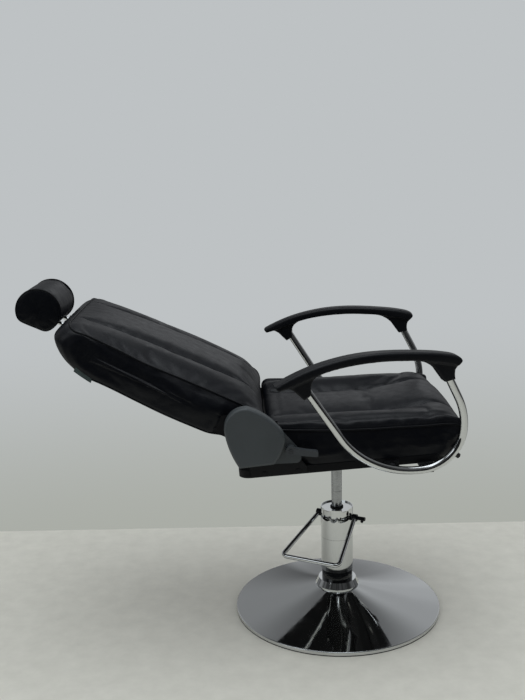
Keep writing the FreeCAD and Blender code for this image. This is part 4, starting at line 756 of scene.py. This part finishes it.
def backOutline(width):
    frontShare, rearShare, endShare = sharesAt(backRows, width)
    y = width * backCushion["halfWidth"]
    corner = backCushion["topCorner"]
    inside = abs(y) - (backCushion["halfWidth"] - corner)
    drop = 0.0
    if inside > 0:
        drop = corner - math.sqrt(max(corner ** 2 - inside ** 2, 0))
    tall = backCushion["top"]
    top = tall - drop * 0.8
    front = backCushion["front"] * frontShare
    rear = backCushion["rear"] * rearShare
    end = backCushion["end"] * endShare
    low = min(front * 0.9, end * 0.87)
    shoulder = front * 0.95
    # towards the top the front is boxier, fuller at its sides
    high = backCushion["front"] * frontShare ** 0.4
    outline = outlinePoints([
        ((low, -end * 0.44), (low + (shoulder - low) * 0.62, tall * 0.012)),
        ((shoulder, tall * 0.07), (front, tall * 0.3)),
        ((front * 0.985, tall * 0.56), (front * 0.41 + high * 0.52, tall * 0.74)),
        ((high * 0.84, top * 0.89), (high * 0.64, top * 0.968)),
        ((rear * 0.3, top), (-rear * 0.5, top - tall * 0.06)),
        ((-rear, top - tall * 0.22), None),
        ((-rear, 0), (-rear * 0.1, -end)),
    ], backCounts)
    outline = softened(outline, 3)
    # the sewn channels draw the front in
    clear, ramp, stop = 0.01, 0.05, 0.03
    gap = abs(y) - backCushion["channelPlace"]
    groove = backCushion["channelDepth"] * math.exp(-(gap / backCushion["channelWidth"]) ** 2)
    groove += backCushion["seamDepth"] * math.exp(-(gap / backCushion["seamWidth"]) ** 2)
    s = outline[:, 1]
    reach = np.clip((s - clear) / ramp, 0, 1) * np.clip((top - stop - s) / ramp, 0, 1)
    outline[:, 0] -= groove * reach * (outline[:, 0] > 0)
    return np.insert(outline, 1, y, axis=1)


backWidths = bothSides(
    np.linspace(0, 0.43, 13), (0.45, 0.465, 0.477, 0.486, 0.493, 0.498, 0.503),
    (0.508, 0.513, 0.52, 0.529, 0.541, 0.556),
    np.linspace(0.58, 0.90, 13), (0.92, 0.94, 0.952, 0.964, 0.975, 0.983, 0.99, 1.0),
)
backLocal = [backOutline(w) for w in backWidths]
backCapShares = (0.06, 0.14, 0.24, 0.36, 0.5, 0.64, 0.78, 0.9)
backCapLifts = (0.0012, 0.002, 0.0026, 0.003, 0.0033, 0.0035, 0.0036, 0.0036)
backAxis = ((-0.003, 0.045), (0.008, 0.425))
backGrid = closedGrid(backLocal, backAxis, backCapShares, backCapLifts)
# the leather is drawn over the hinge arm, which fills the sides out beside it
along = backGrid[..., 2]
hipLow, hipHigh = backCushion["hipLow"], backCushion["hipHigh"]
hip = smoothStep(hipLow, hipLow + backCushion["hipLowRun"], along)
hip = hip * (1 - smoothStep(hipHigh, hipHigh + backCushion["hipHighRun"], along))
hip = hip * (1 - smoothStep(*backCushion["hipFront"], backGrid[..., 0]))
outer = smoothStep(*backCushion["hipBand"], np.abs(backGrid[..., 1]))
backGrid[..., 1] += np.sign(backGrid[..., 1]) * hip * outer * backCushion["hipSwell"]
# and over the edge of the rear panel, which it rolls round
rolled = smoothStep(*backCushion["rollLow"], along)
rolled = rolled * (1 - smoothStep(*backCushion["rollHigh"], along))
rolled = rolled * smoothStep(*backCushion["rollBand"], np.abs(backGrid[..., 1]))
rearward = smoothStep(*backCushion["rollDepth"], -backGrid[..., 0])
backGrid[..., 0] -= rolled * rearward * backCushion["rearRoll"]
backFlat = backGrid.reshape(-1, 3)
backWorld = leaned(backGrid, backCushion["pivot"], backCushion["lean"])
backrestCushion = gridPiece("backrestCushion", backWorld)
seamNear, seamFar, rearNear, rearFar, nearChannel, farChannel = [
    rowAt(backWorld, backWidths, side * backCushion[place])
    for place in ("seamShare", "rearSeamShare", "channelShare") for side in (-1, 1)
]
columnTop = sum(backCounts[:3]) + 8
columnRearTop = sum(backCounts[:5]) - 6
columnRearLow = sum(backCounts[:6]) + 4


def gridLoop(grid, low, high, fromRow, toRow):
    # a loop round part of a grid: up one row, across, down another and back
    up = [grid[fromRow, j] for j in range(low, high + 1)]
    over = [grid[i, high] for i in range(fromRow + 1, toRow)]
    down = [grid[toRow, j] for j in range(high, low - 1, -1)]
    back = [grid[i, low] for i in range(toRow - 1, fromRow, -1)]
    return np.array(up + over + down + back)


seamStep = 0.004
seamReach = 0.0042
rearSeamReach = 0.004
channelStep = 0.003
channelReach = 0.0012
frontLoop = gridLoop(backWorld, -7, columnTop, seamNear, seamFar)
backSeam = smoothPath(evenPath(frontLoop, seamStep, True), 14, True)
rearLoop = gridLoop(backWorld, columnRearTop, columnRearLow, rearNear, rearFar)
backRearSeam = smoothPath(evenPath(rearLoop, seamStep, True), 10, True)
backChannels = [backWorld[row, 8:sum(backCounts[:3]) + 5] for row in (nearChannel, farChannel)]
rest = meshPoints(backrestCushion)
sewn = nearPath(rest, backSeam, seamReach) | nearPath(rest, backRearSeam, rearSeamReach)
for line in backChannels:
    sewn |= nearPath(rest, evenPath(line, channelStep), channelReach)
sewn |= backFlat[:, 0] < backCushion["board"]
# the top end is held flat where the headrest's posts go in
guide = {"half": 0.062, "middle": 0.008, "deep": 0.02, "from": 0.49}
n, y, s = backFlat.T
atGuide = (np.abs(y) < guide["half"]) & (np.abs(n - guide["middle"]) < guide["deep"])
sewn |= atGuide & (s > guide["from"])
# the low end swells least, and the sides less than the front
lowEnd = {"high": 0.05, "low": -0.02, "least": 0.0015, "gain": 0.0055}
rise = np.clip((s - lowEnd["low"]) / (lowEnd["high"] - lowEnd["low"]), 0, 1) ** 2
cap = np.full(len(rest), backCushion["swell"])
cap = np.where(s < lowEnd["high"], lowEnd["least"] + lowEnd["gain"] * rise, cap)
beside = np.abs(y) > backCushion["sideFrom"]
cap = np.where(beside, np.minimum(cap, backCushion["sideSwell"]), cap)
seams = [np.vstack((backSeam, backSeam[:1])), *backChannels]
seams = [evenPath(path, seamStep) for path in seams]
upholster(
    backrestCushion, sewn, cap, backCushion, seams, 11,
    blackLeatherette, "backrest", "black_leatherette",
)
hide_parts("backrest_cushion")
surface = surfaceTree(backrestCushion)
pipeLines = [
    pipingRun(backSeam, surface, backCushion["pipingRadius"] * pipingLift, True),
    pipingRun(backRearSeam, surface, backCushion["pipingRadius"] * backCushion["rearLift"], True),
]
backPiping = pipingPiece("backPiping", pipeLines, backCushion["pipingRadius"], pipingLeatherette)
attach(backPiping, "backrest")
stitchRows = [besides(evenPath(backSeam, stitchStep, True), surface, -besideSeam, True)]
stitchRows += channelRows(backChannels, surface)
backStitches = stitchesPiece("backStitches", stitchRows, surface, stitchShape, threadPolyester)
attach(backStitches, "backrest")

# a woven tab, blank, is caught in the rear seam on the near side
tab = {
    "low": 0.393, "high": 0.441, "root": -0.0385, "rise": 0.010, "side": -0.2470,
    "drop": 0.012, "outward": 0.0035, "curl": 0.0022, "spread": 0.0012, "thick": 0.0007,
    "rows": 15, "columns": 6, "wave": 3.1, "start": 0.4,
}
tabRows = []
for i in range(tab["rows"] + 1):
    share = i / tab["rows"]
    row = []
    for j in range(tab["columns"] + 1):
        t = j / tab["columns"]
        curl = tab["curl"] * math.sin(tab["wave"] * share + tab["start"]) * t * t
        row.append((
            tab["root"] + tab["rise"] * share - tab["drop"] * t,
            tab["side"] - tab["outward"] * t - curl,
            tab["low"] + (tab["high"] - tab["low"]) * share + tab["spread"] * t * (share - 0.5),
        ))
    tabRows.append(row)
tabPoints = leaned(np.array(tabRows), backCushion["pivot"], backCushion["lean"]).reshape(-1, 3)
wide = tab["columns"] + 1
tabFaces = [
    (i * wide + j, i * wide + j + 1, (i + 1) * wide + j + 1, (i + 1) * wide + j)
    for i in range(tab["rows"]) for j in range(tab["columns"])
]
seamTab = meshPiece("seamTab", tabPoints, tabFaces)
applyModifier(seamTab, "SOLIDIFY", thickness=tab["thick"], offset=0)
recalculateNormals(seamTab)
dress(seamTab, tabPolyester, "backrest", "black_leatherette")
print("backrest cushion made")


# seat cushion

seatCushion = {
    "place": (0.0, 0.0, 0.4965), "tilt": 3.5, "halfWidth": 0.2505,
    "rear": 0.1918, "front": 0.3085, "crown": 0.1135, "pan": 0.020,
    "channelPlace": 0.125, "channelDepth": 0.0046, "channelWidth": 0.012, "seamDepth": 0.0040,
    "seamWidth": 0.0021,
    "tuckPlace": 0.098, "tuckDepth": 0.007, "tuckRun": 0.022, "tuckSpread": 1.4, "tuckFloor": 0.05,
    "pressure": 2.6, "shrink": -0.006, "stiffness": 15, "swell": 0.007,
    "sideFrom": 0.245, "sideSwell": 0.0025, "rearFrom": -0.15, "pucker": (0.012, 0.0006, 0.024),
    "apron": 0.0085, "apronRear": -0.105, "apronRearRun": 0.02, "apronFront": 0.240,
    "apronFrontRun": 0.03, "apronBand": (0.2395, 0.249), "apronHigh": (0.028, 0.062),
    "apronHang": (0.024, 0.05), "hangShare": 0.95, "panGrip": 0.006, "pipingRadius": 0.0027,
    "seamShare": 0.985, "seamReach": 0.0035, "channelShare": 0.499,
}
seatRows = (
    (1.0, 0.84, 0.66, 0.66, 0.93, 0.2, 0.9), (0.985, 1.02, 0.845, 0.81, 0.96, 0.04, 0.93),
    (0.90, 1.10, 1.02, 0.98, 0.975, 0.0, 0.72), (0.77, 1.17, 1.08, 1.03, 0.99, 0.0, 0.62),
    (0.58, 1.08, 0.98, 1.04, 1.0, 0.0, 0.58), (0.42, 1.04, 0.95, 1.06, 1.0, 0.0, 0.58),
    (0.2, 1.07, 0.98, 1.10, 1.0, 0.0, 0.58), (0.0, 1.08, 0.985, 1.105, 1.0, 0.0, 0.58),
)
seatCounts = (10, 8, 34, 26, 24, 16, 6, 38)


def seatOutline(width):
    rearShare, dipShare, rollShare, reachShare, liftShare, noseShare = sharesAt(seatRows, width)
    y = width * seatCushion["halfWidth"]
    high = seatCushion["crown"]
    pan = seatCushion["pan"]
    reach = seatCushion["front"] * reachShare
    rear = seatCushion["rear"] * (1 - liftShare / 5)
    low = pan + liftShare * high
    lip = low + pan * 0.4
    backTop, dip, roll = high * rearShare, high * dipShare, high * rollShare
    nose = pan + (roll - pan) * noseShare
    outline = outlinePoints([
        ((-rear, low), None),
        ((-rear, backTop * 0.86), (-rear * 0.97, backTop * 0.95)),
        ((-rear * 0.87, backTop), (-rear * 0.2, backTop * 0.35 + dip * 0.65)),
        ((reach * 0.27, dip), (reach * 0.5, dip * 0.6 + roll * 0.4)),
        ((reach * 0.72, roll), (reach * 0.92, nose + (roll - nose) * 0.78)),
        ((reach, nose), (reach * 0.985, (nose + lip) / 2)),
        ((reach * 0.91, lip), (reach * 0.9, (low + lip) / 2)),
        ((reach * 0.88, low), None),
    ], seatCounts)
    outline = softened(outline, 3)
    gap = abs(y) - seatCushion["channelPlace"]
    groove = math.exp(-(gap / seatCushion["channelWidth"]) ** 2)
    seam = math.exp(-(gap / seatCushion["seamWidth"]) ** 2)
    tuck = math.exp(-(gap / (seatCushion["channelWidth"] * seatCushion["tuckSpread"])) ** 2)
    x, z = outline[:, 0], outline[:, 1]
    # the channels fade out at the rear, at the nose and down the front
    foot, clear, ramp, noseRamp = 0.045, 0.008, 0.03, 0.02
    fade = np.clip((z - foot) / ramp, 0, 1) * np.clip((x + rear - clear) / ramp, 0, 1)
    fade = fade * np.clip((reach - x) / noseRamp, 0, 1)
    pinch = np.exp(-((x - seatCushion["tuckPlace"]) / seatCushion["tuckRun"]) ** 2)
    pinch = pinch * (z > seatCushion["tuckFloor"])
    z = z - (seatCushion["channelDepth"] * groove + seatCushion["seamDepth"] * seam) * fade
    z = z - seatCushion["tuckDepth"] * tuck * pinch
    return np.column_stack((x, np.full(len(outline), y), z))


seatWidths = bothSides(
    np.linspace(0, 0.43, 13), (0.449, 0.463, 0.474, 0.483, 0.489, 0.494, 0.499),
    (0.504, 0.509, 0.515, 0.524, 0.535, 0.55),
    np.linspace(0.57, 0.90, 13), (0.92, 0.94, 0.957, 0.972, 0.985, 0.994, 1.0),
)
seatLocal = [seatOutline(w) for w in seatWidths]
seatCapShares = (0.05, 0.12, 0.21, 0.32, 0.45, 0.6, 0.75, 0.9)
seatCapLifts = (0.0006, 0.001, 0.0013, 0.0016, 0.0018, 0.002, 0.002, 0.002)
seatAxis = ((-0.13, 0.052), (0.225, 0.056))
seatGrid = closedGrid(seatLocal, seatAxis, seatCapShares, seatCapLifts)
# the leather runs down over the edge of the pan, which stands a little wider than the foam
lowPart = 1 - smoothStep(*seatCushion["apronHigh"], seatGrid[..., 2])
rearEdge, frontEdge = seatCushion["apronRear"], seatCushion["apronFront"]
onPan = smoothStep(rearEdge, rearEdge + seatCushion["apronRearRun"], seatGrid[..., 0])
onFront = smoothStep(frontEdge, frontEdge + seatCushion["apronFrontRun"], seatGrid[..., 0])
onPan = onPan * (1 - onFront)
outer = smoothStep(*seatCushion["apronBand"], np.abs(seatGrid[..., 1]))
seatGrid[..., 1] += np.sign(seatGrid[..., 1]) * lowPart * onPan * outer * seatCushion["apron"]
hang = onPan * outer * (1 - smoothStep(*seatCushion["apronHang"], seatGrid[..., 2]))
seatGrid[..., 2] -= hang * seatCushion["pan"] * seatCushion["hangShare"]
seatFlat = seatGrid.reshape(-1, 3)
seatWorld = leaned(seatGrid, seatCushion["place"], seatCushion["tilt"])
seatPad = gridPiece("seatCushion", seatWorld)
columnNose = sum(seatCounts[:6]) + 2
seatSeams, seatChannels = [], []
for side in (-1, 1):
    row = rowAt(seatWorld, seatWidths, side * seatCushion["seamShare"])
    seatSeams.append(smoothPath(evenPath(seatWorld[row, 1:columnNose], seamStep), 6))
    row = rowAt(seatWorld, seatWidths, side * seatCushion["channelShare"])
    seatChannels.append(seatWorld[row, seatCounts[0] + 6:sum(seatCounts[:5]) + 6])
rest = meshPoints(seatPad)
sewn = seatFlat[:, 2] < seatCushion["pan"] + seatCushion["panGrip"]
for line in seatSeams:
    sewn |= nearPath(rest, line, seatCushion["seamReach"])
for line in seatChannels:
    sewn |= nearPath(rest, evenPath(line, channelStep), channelReach)
# the sides and the rear swell least
rearEnd = {"edge": 0.192, "least": 0.0015, "gain": 0.02}
cap = np.full(len(rest), seatCushion["swell"])
cap[np.abs(seatFlat[:, 1]) > seatCushion["sideFrom"]] = seatCushion["sideSwell"]
rearCap = rearEnd["least"] + rearEnd["gain"] * np.clip(seatFlat[:, 0] + rearEnd["edge"], 0, 1)
cap = np.where(seatFlat[:, 0] < seatCushion["rearFrom"], np.minimum(cap, rearCap), cap)
seams = [evenPath(path, seamStep) for path in seatSeams + seatChannels]
upholster(
    seatPad, sewn, cap, seatCushion, seams, 21, blackLeatherette, "seat", "black_leatherette",
)
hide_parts("seat_cushion")
surface = surfaceTree(seatPad)
lift = seatCushion["pipingRadius"] * pipingLift
pipeLines = [pipingRun(line, surface, lift, False) for line in seatSeams]
seatPiping = pipingPiece("seatPiping", pipeLines, seatCushion["pipingRadius"], pipingLeatherette)
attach(seatPiping, "seat")
stitchRows = [
    besides(evenPath(line, stitchStep), surface, aside)
    for line, aside in zip(seatSeams, (besideSeam, -besideSeam))
]
stitchRows += channelRows(seatChannels, surface)
seatStitches = stitchesPiece("seatStitches", stitchRows, surface, stitchShape, threadPolyester)
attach(seatStitches, "seat")
print("seat cushion made")


# headrest roll

headRoll = {
    "forward": 0.0295, "height": 0.5947, "radius": 0.0548, "flat": 0.0125, "halfWidth": 0.102,
    "fullness": 1.07, "count": 96, "crown": 0.02, "rearward": 0.004, "grip": 0.004,
    "pressure": 2.6, "shrink": -0.012, "stiffness": 14, "swell": 0.003,
    "pucker": (0.008, 0.0005, 0.012), "pipingRadius": 0.0022, "pipingStep": 0.005,
}
rollWidths = (0.0, 0.1, 0.2, 0.3, 0.4, 0.5, 0.6, 0.7, 0.78, 0.85, 0.90, 0.93, 0.955)
rollEnds = (
    (1.0, 0.972), (0.985, 0.984), (0.95, 0.992), (0.88, 0.999), (0.78, 1.004),
    (0.64, 1.008), (0.48, 1.011), (0.3, 1.013), (0.14, 1.014),
)


def rollOutline(width, share=1.0):
    swell = 1.0 + headRoll["crown"] * (1 - min(abs(width), 1) ** 2)
    radius = headRoll["radius"] * swell
    centre = (headRoll["forward"], headRoll["height"])
    angles = np.linspace(-math.pi, math.pi, headRoll["count"], endpoint=False)
    n = centre[0] + radius * np.cos(angles)
    s = centre[1] + radius * np.sin(angles)
    s = np.where(s < centre[1], centre[1] + (s - centre[1]) * headRoll["fullness"], s)
    n = np.maximum(n, -headRoll["flat"])
    outline = softened(np.column_stack((n, s)), 3)
    middle = np.array((centre[0] - headRoll["rearward"], centre[1]))
    outline = middle + (outline - middle) * share
    y = width * headRoll["halfWidth"]
    return np.insert(outline, 1, y, axis=1)


rollRows = [rollOutline(-w, k) for k, w in reversed(rollEnds)]
rollRows += [rollOutline(-w) for w in reversed(rollWidths[1:])]
rollRows += [rollOutline(w) for w in rollWidths]
rollRows += [rollOutline(w, k) for k, w in rollEnds]
rollGrid = np.array(rollRows)
rollFlat = rollGrid.reshape(-1, 3)
rollWorld = leaned(rollGrid, backCushion["pivot"], backCushion["lean"])
headrestCushion = gridPiece("headrestCushion", rollWorld)
rollSeams = [rollWorld[len(rollEnds) - 1], rollWorld[-len(rollEnds)]]
rest = meshPoints(headrestCushion)
sewn = rollFlat[:, 0] < -headRoll["flat"] + headRoll["grip"]
for line in rollSeams:
    sewn |= nearPath(rest, line, channelReach)
cap = np.full(len(rest), headRoll["swell"])
seams = [evenPath(line, channelStep, True) for line in rollSeams]
upholster(
    headrestCushion, sewn, cap, headRoll, seams, 31,
    headLeatherette, "headrest", "headrest_leatherette",
)
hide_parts("headrest_cushion")
surface = surfaceTree(headrestCushion)
lift = headRoll["pipingRadius"] * pipingLift
pipeLines = [pipingRun(line, surface, lift, True, headRoll["pipingStep"]) for line in rollSeams]
headPiping = pipingPiece("headPiping", pipeLines, headRoll["pipingRadius"], pipingLeatherette)
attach(headPiping, "headrest")
print("headrest roll made")


# arm pads: the moulded skin flows from the band into its two sleeves

armPad = {"merge": 0.00002, "voxel": 0.0022, "smoothing": 5}
for hand in ("right", "left"):
    source = nodes["arm_pad_" + hand]
    pad = bpy.data.objects.new("armPad." + hand, source.data.copy())
    scene.collection.objects.link(pad)
    recalculateNormals(pad, armPad["merge"])
    applyModifier(pad, "REMESH", mode="VOXEL", voxel_size=armPad["voxel"], use_smooth_shade=True)
    applyModifier(pad, "SMOOTH", factor=0.5, iterations=armPad["smoothing"])
    shadeSmooth(pad)
    dress(pad, armPadFoam, "seat", "arm_pad_black")
    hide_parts("arm_pad_" + hand)
print("arm pads made")


# floor, light and background

floorSize = {"wide": 9.0, "near": -1.6, "wall": 0.585, "wallTurn": -1.9, "mottle": 0.05}
deselectAll()
bpy.ops.mesh.primitive_plane_add(size=1, location=(0, 0, 0))
floor = bpy.context.active_object
floor.name = "floor"
deep = floorSize["wall"] - floorSize["near"]
bpy.ops.object.mode_set(mode="EDIT")
bpy.ops.mesh.select_all(action="SELECT")
bpy.ops.transform.resize(value=(floorSize["wide"], deep, 1))
bpy.ops.transform.translate(value=(0, floorSize["wall"] - deep / 2, 0))
bpy.ops.transform.rotate(
    value=math.radians(-floorSize["wallTurn"]), orient_axis="Z",
    center_override=(0, floorSize["wall"], 0),
)
bpy.ops.object.mode_set(mode="OBJECT")
floorFinish, tree, shader, place = newMaterial("paleStoneFloor")
mottle = addNode(tree, "ShaderNodeTexNoise", {
    "Vector": place, "Scale": 1 / floorSize["mottle"], "Detail": 5.0, "Roughness": 0.6,
}).outputs["Fac"]
stone = addNode(tree, "ShaderNodeMix", {
    0: mottle, 6: toLinear("#cbc9be"), 7: toLinear("#e4e2d7"),
}, data_type="RGBA").outputs[2]
setInputs(tree, shader, {"Base Color": stone, "Roughness": 0.6})
floor.data.materials.append(floorFinish)

world = bpy.data.worlds.new("studio")
scene.world = world
world.use_nodes = True
tree = world.node_tree
tree.nodes.clear()
direction = addNode(tree, "ShaderNodeSeparateXYZ", {
    "Vector": addNode(tree, "ShaderNodeTexCoord").outputs["Generated"],
})
# The room in front of the chair is darker than the wall behind it, as polished chrome shows,
# darker still below, and the wall that the camera sees carries painted shade at its foot, where it
# meets the floor, and pales upward.
roomRanges = {
    "side": ("Y", -0.5, 0.85, 0.05, 0.56),
    "low": ("Z", -0.05, 0.38, 0.34, 1.0),
    "top": ("Z", 0.55, 0.75, 0.0, 1.0),
    "wall": ("Z", -0.4, -0.16, 0.0, 1.0),
}
roomGlow = {"bands": 2.6, "ceiling": 0.16, "soft": 0.58}
tones = {}
for name, (way, low, high, atLow, atHigh) in roomRanges.items():
    tones[name] = addNode(tree, "ShaderNodeMapRange", {
        "Value": direction.outputs[way], "From Min": low, "From Max": high,
        "To Min": atLow, "To Max": atHigh,
    }, interpolation_type="SMOOTHSTEP").outputs["Result"]
# doorways, shelves and corners darken and lighten it round about
turned = addNode(tree, "ShaderNodeMath", {
    0: direction.outputs["X"], 1: direction.outputs["Y"],
}, operation="ARCTAN2").outputs[0]
upright = addNode(tree, "ShaderNodeTexNoise", {
    "W": turned, "Scale": roomGlow["bands"], "Detail": 2.0, "Roughness": 0.55,
}, noise_dimensions="1D").outputs["Fac"]
upright = addNode(tree, "ShaderNodeMapRange", {
    "Value": upright, "From Min": 0.42, "From Max": 0.58, "To Min": 0.5, "To Max": 1.15,
}, interpolation_type="SMOOTHSTEP").outputs["Result"]
roomSide = tones["side"]
for tone in (tones["low"], upright):
    roomSide = addNode(tree, "ShaderNodeMath", {
        0: roomSide, 1: tone,
    }, operation="MULTIPLY").outputs[0]
roomLight = addNode(tree, "ShaderNodeMix", {
    0: tones["top"], 2: roomSide, 3: roomGlow["ceiling"],
}, data_type="FLOAT").outputs[0]
rays = addNode(tree, "ShaderNodeLightPath")
seenRoom = addNode(tree, "ShaderNodeMath", {
    0: rays.outputs["Is Glossy Ray"], 1: rays.outputs["Is Transmission Ray"],
}, operation="MAXIMUM").outputs[0]
diffuseStrength = addNode(tree, "ShaderNodeMix", {
    0: seenRoom, 2: roomGlow["soft"], 3: roomLight,
}, data_type="FLOAT").outputs[0]
room = addNode(tree, "ShaderNodeBackground", {
    "Color": toLinear("#f7fafd"), "Strength": diffuseStrength,
})
# the backdrop wall is painted darker towards its foot: painted shade where it meets the floor
wallShadedAtFoot = addNode(tree, "ShaderNodeMix", {
    0: tones["wall"], 6: toLinear("#a9aca5"), 7: toLinear("#bec2c4"),
}, data_type="RGBA").outputs[2]
wall = addNode(tree, "ShaderNodeBackground", {"Color": wallShadedAtFoot, "Strength": 1.0})
seen = addNode(tree, "ShaderNodeMixShader", {
    0: rays.outputs["Is Camera Ray"], 1: room.outputs[0], 2: wall.outputs[0],
})
addNode(tree, "ShaderNodeOutputWorld", {"Surface": seen.outputs[0]})

lampTint = (0.91, 0.96, 1.0)
lamps = (
    ("ceilingLamp", (-0.2, -0.3, 3.1), (0.0, 0.0, 0.5), 2.4, 36),
    ("sideLamp", (-2.6, -1.6, 2.3), (0.0, 0.0, 0.6), 1.6, 9),
)
for name, spot, target, size, power in lamps:
    data = bpy.data.lights.new(name, "AREA")
    data.shape = "SQUARE"
    data.size = size
    data.energy = power
    data.color = lampTint
    lamp = bpy.data.objects.new(name, data)
    scene.collection.objects.link(lamp)
    lamp.location = spot
    lamp.rotation_euler = (Vector(target) - Vector(spot)).to_track_quat("-Z", "Y").to_euler()
print("light set")
